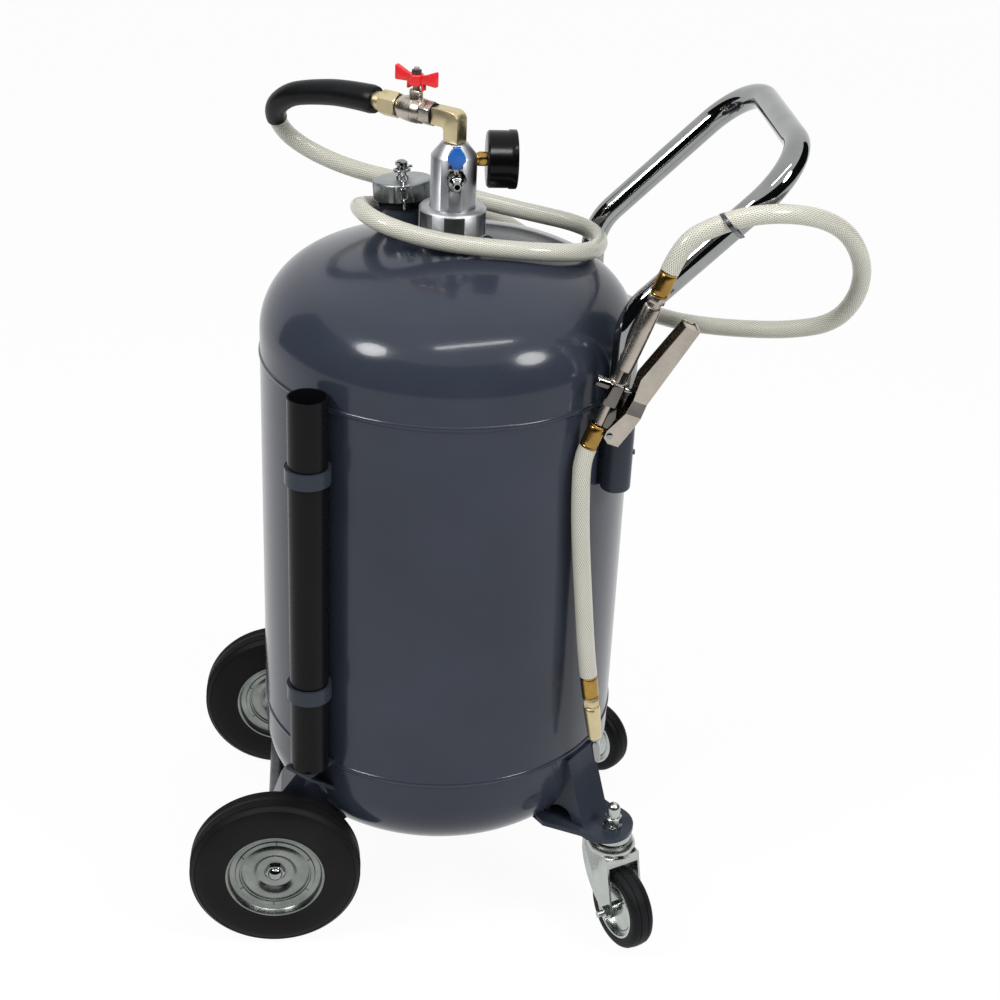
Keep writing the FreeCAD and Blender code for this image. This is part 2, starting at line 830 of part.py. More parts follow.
holder_at = (holder_distance, 0, holder_foot)
tube_length = holder_top - holder_foot
pieces["holder_tube"] = at_holder(pipe(holder_radius, holder_radius - holder_wall, tube_length, holder_at))
tube_room = disc(holder_radius, tube_length, holder_at)
clamps = []
for height in clamp_heights:
    ring = disc(clamp_radius, clamp_width, (holder_distance, 0, height))
    web = block((200, -clamp_web_half, height), (holder_distance, clamp_web_half, height + clamp_width))
    clamps.append(ring.fuse(web))
foot_end = holder_distance + holder_radius
foot = outline([
    (200, holder_foot - foot_plate),
    (foot_end - foot_plate, holder_foot - foot_plate),
    (tank_radius, holder_foot - foot_drop),
    (200, holder_foot - foot_drop),
    (200, holder_foot - foot_drop - foot_plate),
    (tank_radius + 2, holder_foot - foot_drop - foot_plate),
    (foot_end, holder_foot - foot_plate),
    (foot_end, holder_foot),
    (200, holder_foot),
])
foot = foot.extrude(Vec(0, 0, 2 * foot_half_width))
foot.rotate(Vec(0, 0, 0), Vec(1, 0, 0), 90)
foot.translate(Vec(0, foot_half_width, 0))
clamps.append(foot)
clamps = [at_holder(clamp.cut(tube_room)).cut(envelope) for clamp in clamps]
pieces["holder_brackets"] = Part.makeCompound(clamps)

# Push handle: one bent tube, both ends in painted sockets with a set screw
rise = handle_grip_x - handle_leg_x
grip_height = handle_rake_start + rise
handle_path, handle_bends = route([
    (handle_leg_x, -handle_half_width, handle_foot),
    (handle_leg_x, -handle_half_width, handle_rake_start),
    (handle_grip_x, -handle_half_width, grip_height),
    (handle_grip_x, handle_half_width, grip_height),
    (handle_leg_x, handle_half_width, handle_rake_start),
    (handle_leg_x, handle_half_width, handle_foot),
], handle_bend)
handle = swept(handle_path, handle_tube)
pieces["push_handle"] = handle.cut(swept(handle_path, handle_tube - handle_wall))

socket_foot = handle_foot - socket_floor
leg_at = (handle_leg_x, -handle_half_width, socket_foot)
socket = disc(socket_radius, socket_top - socket_foot, leg_at)
low_edge = [e for e in socket.Edges if e.Closed and abs(e.CenterOfMass.z - socket_foot) < 0.01]
socket = socket.makeFillet(socket_round, low_edge)
leg_distance = math.hypot(handle_leg_x, handle_half_width)
pad = block((195, -socket_pad_half, socket_foot + 8), (leg_distance, socket_pad_half, socket_top - 8))
pad.rotate(Vec(0, 0, 0), Vec(0, 0, 1), -math.degrees(math.atan2(handle_half_width, handle_leg_x)))
socket = socket.fuse(pad).cut(envelope)
leg_room = (handle_leg_x, -handle_half_width, handle_foot)
socket = socket.cut(disc(handle_tube + socket_gap, socket_top - handle_foot, leg_room))
screw_at = (handle_leg_x + handle_tube + 0.05, -handle_half_width, set_screw_height)
screw = disc(set_screw_radius, socket_radius + set_screw_head - handle_tube, screw_at, (1, 0, 0))
socket = socket.cut(screw).removeSplitter()
pieces["handle_sockets"] = Part.makeCompound([socket, far_side(socket)])
hex_key = hexagon(3, 1.5)
screw = screw.cut(placed(hex_key, (handle_leg_x + socket_radius + set_screw_head - 1, -handle_half_width,
                                   set_screw_height), (1, 0, 0), (0, 0, 1)))
pieces["socket_screws"] = Part.makeCompound([screw, far_side(screw)])

# Hand gun: own Z runs down its axis, own X out towards the lever


def on_gun(shape):
    down = (-gun_slope[0], 0, -gun_slope[1])
    return placed(shape, (gun_top[0], gun_plane, gun_top[1]), down, (gun_slope[1], 0, -gun_slope[0]))


def flat_piece(points, half_width):
    """A prism over an outline of side and along values, centred on the gun plane."""
    shape = outline(points).extrude(Vec(0, 0, 2 * half_width))
    shape.rotate(Vec(0, 0, 0), Vec(1, 0, 0), 90)
    shape.translate(Vec(0, half_width, 0))
    return shape


gun = turned([
    (0, 0),
    (gun_tube_radius - 1, 0),
    (gun_tube_radius, 1),
    (gun_tube_radius, gun_tube_end),
    (gun_waist_radius, gun_tube_end + 2),
    (gun_waist_radius, gun_collar_start),
    (gun_tube_radius, gun_collar_start),
    (gun_tube_radius, gun_collar_end),
    (0, gun_collar_end),
])
half = gun_block_half
gun_block = prism([(-half, -half + 3), (-half + 3, -half), (half - 3, -half), (half, -half + 3),
                   (half, half - 3), (half - 3, half), (-half + 3, half), (-half, half - 3)],
                  gun_block_end - gun_collar_end)
gun_block.translate(Vec(0, 0, gun_collar_end))
lug = flat_piece([
    (3, gun_block_end),
    (half, gun_block_end),
    (lever_pivot_side + 4.5, lever_pivot_along - 3),
    (lever_pivot_side + 4.5, lever_pivot_along + 2),
    (lever_pivot_side + 2, lever_pivot_along + 4.5),
    (ferrule_radius + 0.6, lever_pivot_along + 4.5),
    (ferrule_radius + 0.6, gun_spigot_end - 0.5),
    (3, gun_spigot_end - 0.5),
], lever_lug_half)
gun = joined([
    gun,
    gun_block,
    disc(gun_spigot_radius, gun_spigot_end - gun_block_end + 1, (0, 0, gun_block_end - 1)),
    disc(cross_radius, cross_reach, (0, 0, cross_along), (-1, 0, 0)),
    lug,
])
gun = gun.cut(disc(nozzle_bore, cross_along - 8))
gun = gun.cut(disc(nozzle_bore, gun_spigot_end - cross_along - 8, (0, 0, cross_along + 8)))
plunger_room = cross_reach - 2.5
plunger_bore = disc(plunger_radius + plunger_gap, plunger_room + 20, (-plunger_room, 0, cross_along),
                    (1, 0, 0))
gun = gun.cut(plunger_bore)
gun = gun.cut(disc(pivot_radius, 60, (lever_pivot_side, -30, lever_pivot_along), (0, 1, 0)))
pieces["gun_body"] = on_gun(gun)

swivel = hexagon(swivel_flats, swivel_length, 1.5).cut(disc(nozzle_bore, swivel_length))
swivel.translate(Vec(0, 0, -swivel_length))
pieces["gun_swivel"] = on_gun(swivel)


def ferrule(length):
    """Crimped brass sleeve with six shallow flats round its middle."""
    sleeve = turned([
        (nozzle_bore, 0),
        (ferrule_radius - 1.2, 0),
        (ferrule_radius, 1.2),
        (ferrule_radius, length - 1.2),
        (ferrule_radius - 1.2, length),
        (nozzle_bore, length),
    ])
    grip_ring = hexagon(2 * ferrule_radius - 1, length - 10)
    grip_ring.translate(Vec(0, 0, 5))
    band_room = disc(ferrule_radius, length - 10, (0, 0, 5)).cut(grip_ring)
    return sleeve.cut(band_room)


upper = ferrule(ferrule_length)
upper.translate(Vec(0, 0, -swivel_length - ferrule_length))
lower = ferrule(ferrule_length)
lower.translate(Vec(0, 0, gun_spigot_end))
pieces["gun_ferrules"] = on_gun(Part.makeCompound([upper, lower]))

# Lever: a folded channel, open towards the gun, joggled above its pivot
lever_side = [
    (38, 6),
    (54, 6),
    (35.5, 100),
    (36.5, 118),
    (33, 134),
    (27, 156),
    (15, 156),
    (8.5, 151),
    (8.5, 143),
    (19, 121),
    (20, 101),
    (18, 76),
]
lever = flat_piece(lever_side, lever_inner_half + lever_sheet)
lever_top = lever_side[1]
lever_waist = lever_side[2]
web = lever_sheet + 0.3
hollow = [(-20, lever_top[1] + lever_sheet), (lever_top[0] - web, lever_top[1] + lever_sheet)]
hollow += [(side - web, down) for side, down in lever_side[2:5]]
hollow += [(lever_side[5][0] - web, lever_side[5][1] + 4), (-20, lever_side[5][1] + 4)]
lever = lever.cut(flat_piece(hollow, lever_inner_half))
lever = lever.cut(disc(pivot_radius + running_gap, 60, (lever_pivot_side, -30, lever_pivot_along), (0, 1, 0)))
pieces["gun_lever"] = on_gun(lever)
slope = (lever_waist[0] - lever_top[0]) / (lever_waist[1] - lever_top[1])
web_inside = lever_top[0] + slope * (cross_along - lever_top[1]) - web
plunger_end = web_inside - plunger_play
plunger_start = 2 - plunger_depth
plunger = disc(plunger_radius, plunger_end - plunger_start, (plunger_start, 0, cross_along), (1, 0, 0))
pieces["gun_plunger"] = on_gun(plunger)
pin_half = lever_inner_half + lever_sheet + 0.3
pin = disc(pivot_radius, 2 * pin_half, (lever_pivot_side, -pin_half, lever_pivot_along), (0, 1, 0))
for side in (-1, 1):
    head_at = (lever_pivot_side, side * pin_half, lever_pivot_along)
    head = disc(pivot_head_radius, pivot_head, head_at, (0, side, 0))
    pin = pin.fuse(head)
pieces["gun_pivot_pin"] = on_gun(pin)

# Outlet nozzle: own Z runs down its axis


def on_nozzle(shape):
    down = (-nozzle_slope[0], 0, -nozzle_slope[1])
    return placed(shape, (nozzle_top[0], gun_plane, nozzle_top[1]), down, (0, -1, 0))


pieces["nozzle_ferrule"] = on_nozzle(ferrule(nozzle_ferrule_length))
hex_end = nozzle_ferrule_length + nozzle_hex_length
nozzle = hexagon(nozzle_hex_flats, nozzle_hex_length, 1.5)
nozzle.translate(Vec(0, 0, nozzle_ferrule_length))
taper = turned([
    (0, hex_end),
    (nozzle_shoulder, hex_end),
    (nozzle_shoulder, hex_end + 6),
    (nozzle_shoulder - 1.8, nozzle_body_end),
    (0, nozzle_body_end),
])
nozzle = nozzle.fuse(taper).cut(disc(nozzle_bore, 100, (0, 0, nozzle_ferrule_length - 1)))
pieces["nozzle_body"] = on_nozzle(nozzle)
tip = turned([
    (nozzle_bore - 1, nozzle_body_end),
    (6.5, nozzle_body_end),
    (6.5, nozzle_body_end + 3),
    (5.2, nozzle_body_end + 4),
    (5.2, nozzle_body_end + 16),
    (3.6, nozzle_tip_end),
    (nozzle_bore - 1, nozzle_tip_end),
])
pieces["nozzle_tip"] = on_nozzle(tip)

# Hose clip: a strap round the handle leg and the hose, square to neither but halfway between them


def belt(first, second, gap, width):
    """Hull of a disc at the origin and a disc further along X."""
    spread = math.acos((first - second) / gap)
    low = Vec(math.cos(spread), math.sin(spread), 0)
    middle = prism([
        (first * low.x, first * low.y),
        (first * low.x, -first * low.y),
        (gap + second * low.x, -second * low.y),
        (gap + second * low.x, second * low.y),
    ], width)
    return joined([disc(first, width), middle, disc(second, width, (gap, 0, 0))])


leg_spot = Vec(clip_leg_x, -handle_half_width, clip_leg_x + handle_rake_start - handle_leg_x)
run_start = Vec(*delivery_points[-2])
run = Vec(*delivery_points[-1]) - run_start
leg_run = Vec(-1, 0, -1)
clip_axis = leg_run.normalize() + run / run.Length
hose_spot = run_start + run * (clip_axis.dot(leg_spot - run_start) / clip_axis.dot(run))
across = hose_spot - leg_spot
clip = belt(clip_leg_bore + clip_sheet, clip_hose_bore + clip_sheet, across.Length, clip_width)
clip = clip.cut(belt(clip_leg_bore, clip_hose_bore, across.Length, clip_width))
clip.translate(Vec(0, 0, -clip_width / 2))
pieces["hose_clip"] = placed(clip, leg_spot, clip_axis, across)

# Rear wheels, drawn round Z with the outer face up


def on_rear(shape):
    return placed(shape, (wheel_x, -wheel_plane, wheel_radius), (0, -1, 0), (1, 0, 0))


def both_ways(half_profile):
    """A profile given outwards from its middle plane, closed by its mirror image."""
    flipped = []
    for point in reversed(half_profile):
        flipped.append(tuple(v * (-1 if i % 2 else 1) for i, v in enumerate(point[-2:])))
    return half_profile + flipped


lip_seat = rim_half - 2.3
tyre = turned(both_ways([
    (tyre_bore, 0),
    (tyre_bore, lip_seat),
    (rim_lip + 0.05, lip_seat),
    (rim_lip + 0.05, rim_half),
    (rim_lip + 1.5, tyre_half),
    (86, tyre_half),
    (94, tyre_half - 1.6),
    (98.6, tyre_half - 6),
    (wheel_radius, tyre_half - 11),
])[:-1])
for place in groove_places:
    low = wheel_radius - groove_depth - max(0.0, (abs(place) - 10) * 0.25)
    groove = turned([
        (low, place),
        (wheel_radius + 2, place - 2 * groove_half),
        (wheel_radius + 2, place + 2 * groove_half),
    ])
    tyre = tyre.cut(groove)
rim = turned(both_ways([
    (axle_radius + running_gap, 0),
    (axle_radius + running_gap, 8),
    (22, 8),
    (26, 9.5),
    (37.5, 13),
    (39, 15),
    (41.5, 15),
    (43, 13),
    (46, 12),
    (53, 12),
    (rim_lip - 3, 14),
    (rim_lip - 3, rim_half - 1),
    (rim_lip - 2, rim_half),
    (rim_lip, rim_half),
    (rim_lip, lip_seat),
    (tyre_bore, lip_seat),
])[:-1])
void = turned(both_ways([(hub_radius, 0), (hub_radius, 5.5), (22, 5.5), (38, 10.5), (53.5, 9.4), (53.5, 0)]))
rim = rim.cut(void)
rim = rim.fuse(pipe(hub_radius, axle_radius + running_gap, 18, (0, 0, -23)))
for i in range(4):
    hole = disc(2.5, 60, (49.5, 0, -30))
    hole.rotate(Vec(0, 0, 0), Vec(0, 0, 1), 45 + 90 * i)
    rim = rim.cut(hole)
pieces["rear_tyre_left"] = on_rear(tyre)
pieces["rear_tyre_right"] = far_side(on_rear(tyre))
pieces["rear_rim_left"] = on_rear(rim)
pieces["rear_rim_right"] = far_side(on_rear(rim))

axle_at = (wheel_x, -axle_end, wheel_radius)
axle = disc(axle_radius, 2 * axle_end, axle_at, (0, 1, 0))
spacer_at = (wheel_x, -axle_tube_half, wheel_radius)
axle = axle.fuse(disc(axle_tube_radius, 2 * axle_tube_half, spacer_at, (0, 1, 0)))
pieces["rear_axle"] = axle
nut_height = axle_nut_end - axle_nut_start
nut = hexagon(axle_nut_flats, axle_nut_base, 1)
nut = nut.fuse(turned([
    (0, axle_nut_base - 1),
    (axle_nut_radius, axle_nut_base - 1),
    (axle_nut_radius, nut_height - 5),
    dome(axle_nut_radius, nut_height - 5, nut_height),
]))
nut = nut.cut(disc(axle_radius, axle_end - axle_nut_start))
nut.translate(Vec(0, 0, axle_nut_start - wheel_plane))
pieces["axle_nuts"] = Part.makeCompound([on_rear(nut), far_side(on_rear(nut))])

# Axle brackets: folded channels from the bottom head down to the axle tube
plate = outline([
    (-110, 150),
    (-135, 236),
    (-158, 232),
    (-190, 185),
    (-213, 118),
    (-213, 92),
    (-205, 84),
    (-186, 84),
    (-150, 120),
])
plate = plate.extrude(Vec(0, 0, rear_plate_near - rear_plate_far))
plate.rotate(Vec(0, 0, 0), Vec(1, 0, 0), 90)
plate.translate(Vec(0, -rear_plate_far, 0))
inside = outline([(-60, 60), (-60, 250), (-150, 250), (-185.5, 187), (-208.5, 117), (-208.5, 60)])
inside = inside.extrude(Vec(0, 0, rear_plate_near - rear_plate_far - 2 * bracket_sheet))
inside.rotate(Vec(0, 0, 0), Vec(1, 0, 0), 90)
inside.translate(Vec(0, -rear_plate_far - bracket_sheet, 0))
bracket = plate.cut(inside).cut(envelope)
bracket = bracket.cut(disc(axle_tube_radius, 400, (wheel_x, -200, wheel_radius), (0, 1, 0)))
bracket = bracket.cut(pieces["holder_brackets"])
pieces["axle_brackets"] = Part.makeCompound([bracket, far_side(bracket)])

# Casters, drawn round the kingpin with the wheel trailing towards +X
caster_angle = -math.degrees(math.atan2(caster_stem_y, caster_stem_x))
caster_reach = math.hypot(caster_stem_x, caster_stem_y)


def at_caster_bracket(shape):
    turned_shape = shape.copy()
    turned_shape.rotate(Vec(0, 0, 0), Vec(0, 0, 1), caster_angle)
    return turned_shape


plate = prism([
    (172, -38),
    (196, -46),
    (243, -34),
    (caster_reach + 23, 0, 243, 34),
    (196, 46),
    (172, 38),
], caster_plate_top - caster_plate_foot)
plate.translate(Vec(0, 0, caster_plate_foot))
folded = outline([(170, caster_plate_top), (239.5, caster_plate_top), (213, 230), (190, 230)])
folded = folded.extrude(Vec(0, 0, 52))
folded.rotate(Vec(0, 0, 0), Vec(1, 0, 0), 90)
folded.translate(Vec(0, 26, 0))
inside = outline([(160, 140), (235.5, 140), (204, 240), (160, 240)])
inside = inside.extrude(Vec(0, 0, 44))
inside.rotate(Vec(0, 0, 0), Vec(1, 0, 0), 90)
inside.translate(Vec(0, 22, 0))
arch = disc(17, 80, (207, -40, caster_plate_top), (0, 1, 0))
bracket = plate.fuse(folded.cut(inside).cut(arch)).cut(at_caster_bracket(envelope))
bracket = bracket.cut(disc(kingpin_radius, 20, (caster_reach, 0, caster_plate_foot - 5)))
bracket = at_caster_bracket(bracket)
pieces["caster_brackets"] = Part.makeCompound([bracket, far_side(bracket)])

crown_foot = fork_crown_top - fork_sheet
kingpin = turned([
    (0, crown_foot - 4.5),
    (kingpin_head, crown_foot - 4.5),
    (kingpin_head, crown_foot - race_gap),
    (kingpin_radius, crown_foot - race_gap),
    (kingpin_radius, race_top + race_gap),
    (upper_race_radius - 2, race_top + race_gap),
    (upper_race_radius, race_top + 3),
    (upper_race_radius, caster_plate_foot),
    (kingpin_radius, caster_plate_foot),
    (kingpin_radius, caster_plate_top),
    (11, caster_plate_top),
    (11, caster_plate_top + 2),
    (0, caster_plate_top + 2),
])
cap_nut = hexagon(19, 13, 1.2)
cap_nut.translate(Vec(0, 0, caster_plate_top + 2))
round_top = turned([
    (0, caster_plate_top + 14),
    (8, caster_plate_top + 14),
    (8, kingpin_tip - 8),
    dome(8, kingpin_tip - 8, kingpin_tip),
])
kingpin = joined([kingpin, cap_nut, round_top])
kingpin.translate(Vec(caster_stem_x, -caster_stem_y, 0))
pieces["caster_kingpins"] = Part.makeCompound([kingpin, far_side(kingpin)])

side_view = [
    (-fork_reach, fork_crown_top),
    (-fork_reach, 104),
    (-16, 78, 25, 45),
    (caster_trail + 2, 40.5, caster_trail + 9, 52),
    (fork_reach + 4, 100),
    (fork_reach, fork_crown_top),
]
fork = flat_piece(side_view, fork_half_width)
inner_half = fork_half_width - fork_sheet
fork = fork.cut(block((-60, -inner_half, 0), (90, inner_half, 108)))
fork = fork.cut(block((-60, -inner_half, 107), (fork_reach - fork_sheet, inner_half, crown_foot)))
race = turned([
    (kingpin_radius + running_gap, crown_foot),
    (race_radius - 4, crown_foot),
    (race_radius - 1, fork_crown_top),
    (race_radius, fork_crown_top + 4),
    (race_radius - 1.5, race_top - 3),
    (race_radius - 4, race_top),
    (kingpin_radius + running_gap, race_top),
])
fork = fork.cut(disc(kingpin_radius + running_gap, 60, (0, 0, 90))).fuse(race)
fork = fork.cut(disc(caster_axle_radius, 90, (caster_trail, -45, caster_radius), (0, 1, 0)))


def across_fork(shape):
    return placed(shape, (caster_trail, 0, caster_radius), (0, -1, 0), (1, 0, 0))


caster_tyre = turned(both_ways([
    (caster_rim, 0),
    (caster_rim, caster_half - 1),
    (caster_rim + 2, caster_half),
    (caster_radius - 5, caster_half),
    (caster_radius - 1.5, caster_half - 2.5),
    (caster_radius, caster_half - 6),
])[:-1])
caster_wheel = turned(both_ways([
    (caster_axle_radius + running_gap, 0),
    (caster_axle_radius + running_gap, inner_half - 0.5),
    (caster_hub_radius, inner_half - 0.5),
    (caster_hub_radius, 10),
    (27, 10),
    (29, 8),
    (32, 8),
    (33.5, caster_half - 1),
    (caster_rim, caster_half - 1),
])[:-1])
bolt = joined([
    disc(caster_axle_radius, 2 * fork_half_width + 18, (0, 0, -fork_half_width - 5)),
    hexagon(13, 5.5, 1).translated(Vec(0, 0, fork_half_width)),
    hexagon(13, 5, 1).translated(Vec(0, 0, -fork_half_width - 5)),
])
caster_parts = {
    "caster_fork": fork,
    "caster_tyre": across_fork(caster_tyre),
    "caster_rim": across_fork(caster_wheel),
    "caster_axle": across_fork(bolt),
}
sides = (("left", caster_turn_left, -caster_stem_y), ("right", caster_turn_right, caster_stem_y))
for side, turn_angle, stem_y in sides:
    for name, shape in caster_parts.items():
        shape = shape.copy()
        shape.rotate(Vec(0, 0, 0), Vec(0, 0, 1), turn_angle - 90)
        shape.translate(Vec(caster_stem_x, stem_y, 0))
        pieces[name + "_" + side] = shape


# Hoses: each leaves its fitting along the fitting's axis
def along(point, direction, distance):
    return tuple(p + d * distance for p, d in zip(point, direction))


gun_up = (gun_slope[0], 0, gun_slope[1])
gun_down = (-gun_slope[0], 0, -gun_slope[1])
gun_at = (gun_top[0], gun_plane, gun_top[1])
delivery_start = along((0, 0, valve_height), valve_axis, nipple_end)
delivery_end = along(gun_at, gun_up, swivel_length + ferrule_length)
outlet_start = along(gun_at, gun_down, gun_spigot_end + ferrule_length)
outlet_end = (nozzle_top[0], gun_plane, nozzle_top[1])
routes = {
    "delivery_hose": [delivery_start, along(delivery_start, valve_axis, nipple_run)] + delivery_points
                     + [along(delivery_end, gun_up, exit_run), delivery_end],
    "outlet_hose": [outlet_start, along(outlet_start, gun_down, short_exit_run)] + outlet_points
                   + [along(outlet_end, (nozzle_slope[0], 0, nozzle_slope[1]), exit_run), outlet_end],
}
for name, points in routes.items():
    edges, bends = route(points)
    length = sum(edge.Length for edge in edges)
    hose = swept(edges, hose_radius).cut(swept(edges, hose_radius - hose_wall))
    pieces[name] = hose
    section = math.pi * (hose_radius ** 2 - (hose_radius - hose_wall) ** 2)
    print(name, "length", round(length), "volume ratio", round(hose.Volume / (section * length), 4),
          "bend radii", [round(bend) for bend in bends])
    if name == "delivery_hose":
        guard = edges[:2 * guard_corners]
        sleeve = swept(guard, guard_start_radius, guard_end_radius)
        pieces["bend_guard"] = sleeve.cut(swept(guard, hose_radius))
        print("bend guard length", round(sum(edge.Length for edge in guard)))

# Everything moves so that the frame origin is under the middle of the rigid pieces
cords = ("delivery_hose", "outlet_hose")
bounds = FreeCAD.BoundBox()
for name, shape in pieces.items():
    if name not in cords:
        bounds.add(shape.optimalBoundingBox(False))
shift = Vec(-(bounds.XMin + bounds.XMax) / 2, -(bounds.YMin + bounds.YMax) / 2, -bounds.ZMin)
for name, shape in pieces.items():
    shape.translate(shift)
    shape.exportStep("parts/" + name + ".step")
print("pieces", len(pieces), "shift", round(shift.x, 2), round(shift.y, 2), round(shift.z, 2))
print("size", round(bounds.XLength, 2), round(bounds.YLength, 2), round(bounds.ZLength, 2))
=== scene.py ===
import bpy
import bmesh
import json
import math
from mathutils import Matrix, Quaternion, Vector


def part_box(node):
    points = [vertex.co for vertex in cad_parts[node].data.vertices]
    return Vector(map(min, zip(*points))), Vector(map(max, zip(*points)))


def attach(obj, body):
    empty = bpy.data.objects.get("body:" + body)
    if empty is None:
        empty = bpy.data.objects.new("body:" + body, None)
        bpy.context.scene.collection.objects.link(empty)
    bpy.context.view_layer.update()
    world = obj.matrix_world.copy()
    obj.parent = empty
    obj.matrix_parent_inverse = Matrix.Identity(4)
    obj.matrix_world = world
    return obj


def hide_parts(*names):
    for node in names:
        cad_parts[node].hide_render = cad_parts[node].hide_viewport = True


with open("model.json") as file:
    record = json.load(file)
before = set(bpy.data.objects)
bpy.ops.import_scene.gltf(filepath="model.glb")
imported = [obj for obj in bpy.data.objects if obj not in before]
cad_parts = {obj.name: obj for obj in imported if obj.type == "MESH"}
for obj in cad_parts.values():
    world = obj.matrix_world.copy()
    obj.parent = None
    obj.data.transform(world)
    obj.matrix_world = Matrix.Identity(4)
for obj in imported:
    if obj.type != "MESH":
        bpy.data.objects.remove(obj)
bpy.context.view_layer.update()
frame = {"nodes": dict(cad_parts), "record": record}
print("frame loaded, pieces:", len(frame["nodes"]))

scene = bpy.context.scene
scene.view_settings.view_transform = "Standard"

# The handle stands in front, and the near side faces the camera
upright = Vector((0, 0, 1))
forward = Vector((1, 0, 0))
nearSide = Vector((0, -1, 0))

# Sizes and places are in millimetres and angles in degrees, except where a note says metres
# The tank's axis stands at this place in the frame
shellLow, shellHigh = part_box("tank_shell")
tankAxis = Vector(((shellLow.x + shellHigh.x) / 2, (shellLow.y + shellHigh.y) / 2, 0))


def fromTank(x, y, z):
    # millimetres from the tank's axis to metres in the frame
    return tankAxis + Vector((x, y, z)) / 1000


def linked(name, data):
    added = bpy.data.objects.new(name, data)
    scene.collection.objects.link(added)
    return added


# Camera
cameraView = {"azimuth": -6.0, "pitch": 28.16, "roll": 2.73, "lens": 67.6, "sensor": 36,
              "at": (-136.7, -1934.3, 1533.9)}
azimuth = math.radians(cameraView["azimuth"])
pitch = math.radians(cameraView["pitch"])
roll = Quaternion((0, 0, 1), math.radians(cameraView["roll"]))  # about the line of sight
lookAlong = Vector((-math.sin(azimuth) * math.cos(pitch), math.cos(azimuth) * math.cos(pitch), -math.sin(pitch)))
cameraData = bpy.data.cameras.new("camera")
cameraData.lens = cameraView["lens"]
cameraData.sensor_width = cameraView["sensor"]
camera = linked("camera", cameraData)
camera.location = fromTank(*cameraView["at"])
camera.rotation_mode = "QUATERNION"
camera.rotation_quaternion = lookAlong.to_track_quat("-Z", "Y") @ roll
scene.camera = camera
print("camera placed")


# Material helpers
def hexColour(code):
    channels = [int(code[i:i + 2], 16) / 255 for i in (0, 2, 4)]
    return [c / 12.92 if c <= 0.04045 else ((c + 0.055) / 1.055) ** 2.4 for c in channels] + [1]


def plug(tree, node, inputs):
    # an input is named or numbered as on the node, and takes a value or another node's output
    for key, value in inputs.items():
        if isinstance(value, bpy.types.NodeSocket):
            tree.links.new(value, node.inputs[key])
        else:
            node.inputs[key].default_value = value


def addNode(tree, kind, inputs=None, **settings):
    node = tree.nodes.new(kind)
    for key, value in settings.items():
        setattr(node, key, value)
    plug(tree, node, inputs or {})
    return node


def newMaterial(name):
    material = bpy.data.materials.new(name)
    material.use_nodes = True
    return material, material.node_tree, material.node_tree.nodes["Principled BSDF"]


def patternOn(tree, pattern):
    # a noise, or turned rings up the upright axis, as coarse as its size in millimetres
    place = addNode(tree, "ShaderNodeTexCoord").outputs["Object"]
    if "rings" in pattern:
        ringsPerMetre = 1000 / pattern["rings"]
        waveScale = ringsPerMetre * 2 * math.pi / 20  # a scale of 1 draws 20 / (2 pi) rings to a metre
        rings = addNode(tree, "ShaderNodeTexWave", {"Vector": place, "Scale": waveScale, "Distortion": 0.6,
                                                    "Detail": 2}, bands_direction="Z")
        return rings.outputs["Fac"]
    spread = addNode(tree, "ShaderNodeMapping", {"Vector": place, "Scale": pattern.get("stretch", (1, 1, 1))})
    noise = addNode(tree, "ShaderNodeTexNoise", {"Vector": spread.outputs[0], "Scale": 1000 / pattern["size"],
                                                 "Detail": pattern["detail"]})
    return noise.outputs["Fac"]


def driftingColour(tree, tint):
    # the first colour where the pattern is low, the second where it is high, and a blend between
    ramp = addNode(tree, "ShaderNodeValToRGB", {"Fac": patternOn(tree, tint)})
    for stop, position, code in zip(ramp.color_ramp.elements, tint["from"], tint["colours"]):
        stop.position = position
        stop.color = hexColour(code)
    return ramp.outputs["Color"]


def patternedMaterial(name, tint, rough, relief, shine):
    # colour and roughness drift with their patterns, and the relief lifts the surface by millimetres
    material, tree, shader = newMaterial(name)
    start, end = rough["from"]
    smooth, dull = rough["to"]
    roughness = addNode(tree, "ShaderNodeMapRange", {"Value": patternOn(tree, rough), "From Min": start,
                                                     "From Max": end, "To Min": smooth, "To Max": dull})
    bump = addNode(tree, "ShaderNodeBump", {"Height": patternOn(tree, relief), "Strength": 1,
                                            "Distance": relief["lift"] / 1000})
    plug(tree, shader, {"Base Color": driftingColour(tree, tint), "Roughness": roughness.outputs["Result"],
                        "Normal": bump.outputs["Normal"], **shine})
    return material


def enamel(name, colours, roughness, peel, shine, coat):
    # sprayed gloss paint: slow colour drift, orange peel and settled dust, its specks drawn large to show
    return patternedMaterial(
        name,
        {"size": 180, "detail": 4, "from": (0.3, 0.7), "colours": colours},
        {"size": 2.2, "detail": 5, "from": (0.45, 0.8), "to": (roughness, roughness + 0.12)},
        {"size": 5.5, "detail": 2, "lift": peel},
        {"Specular IOR Level": shine, "Coat Weight": coat, "Coat Roughness": 0.05})


def plating(name, colours, roughness, grain, lift=0.0008, stretch=(1, 1, 1)):
    # plated or bare metal: faint cloudy tint, rubbed roughness, and grain drawn coarser than real to show
    rub = {"size": grain, "detail": 4, "stretch": stretch, "from": (0.3, 0.7), "to": roughness, "lift": lift}
    cloud = {"size": 26, "detail": 4, "from": (0.3, 0.7), "colours": colours}
    return patternedMaterial(name, cloud, rub, rub, {"Metallic": 1})


def turnedMetal(name, colours, roughness):
    # satin bar turned on a lathe: fine rings up the upright axis, drawn coarser than real ones to show
    rings = {"rings": 0.8976, "from": (0, 1), "to": (roughness, roughness + 0.1), "lift": 0.01}
    cloud = {"size": 18, "detail": 4, "from": (0.3, 0.7), "colours": colours}
    return patternedMaterial(name, cloud, rings, rings, {"Metallic": 1})


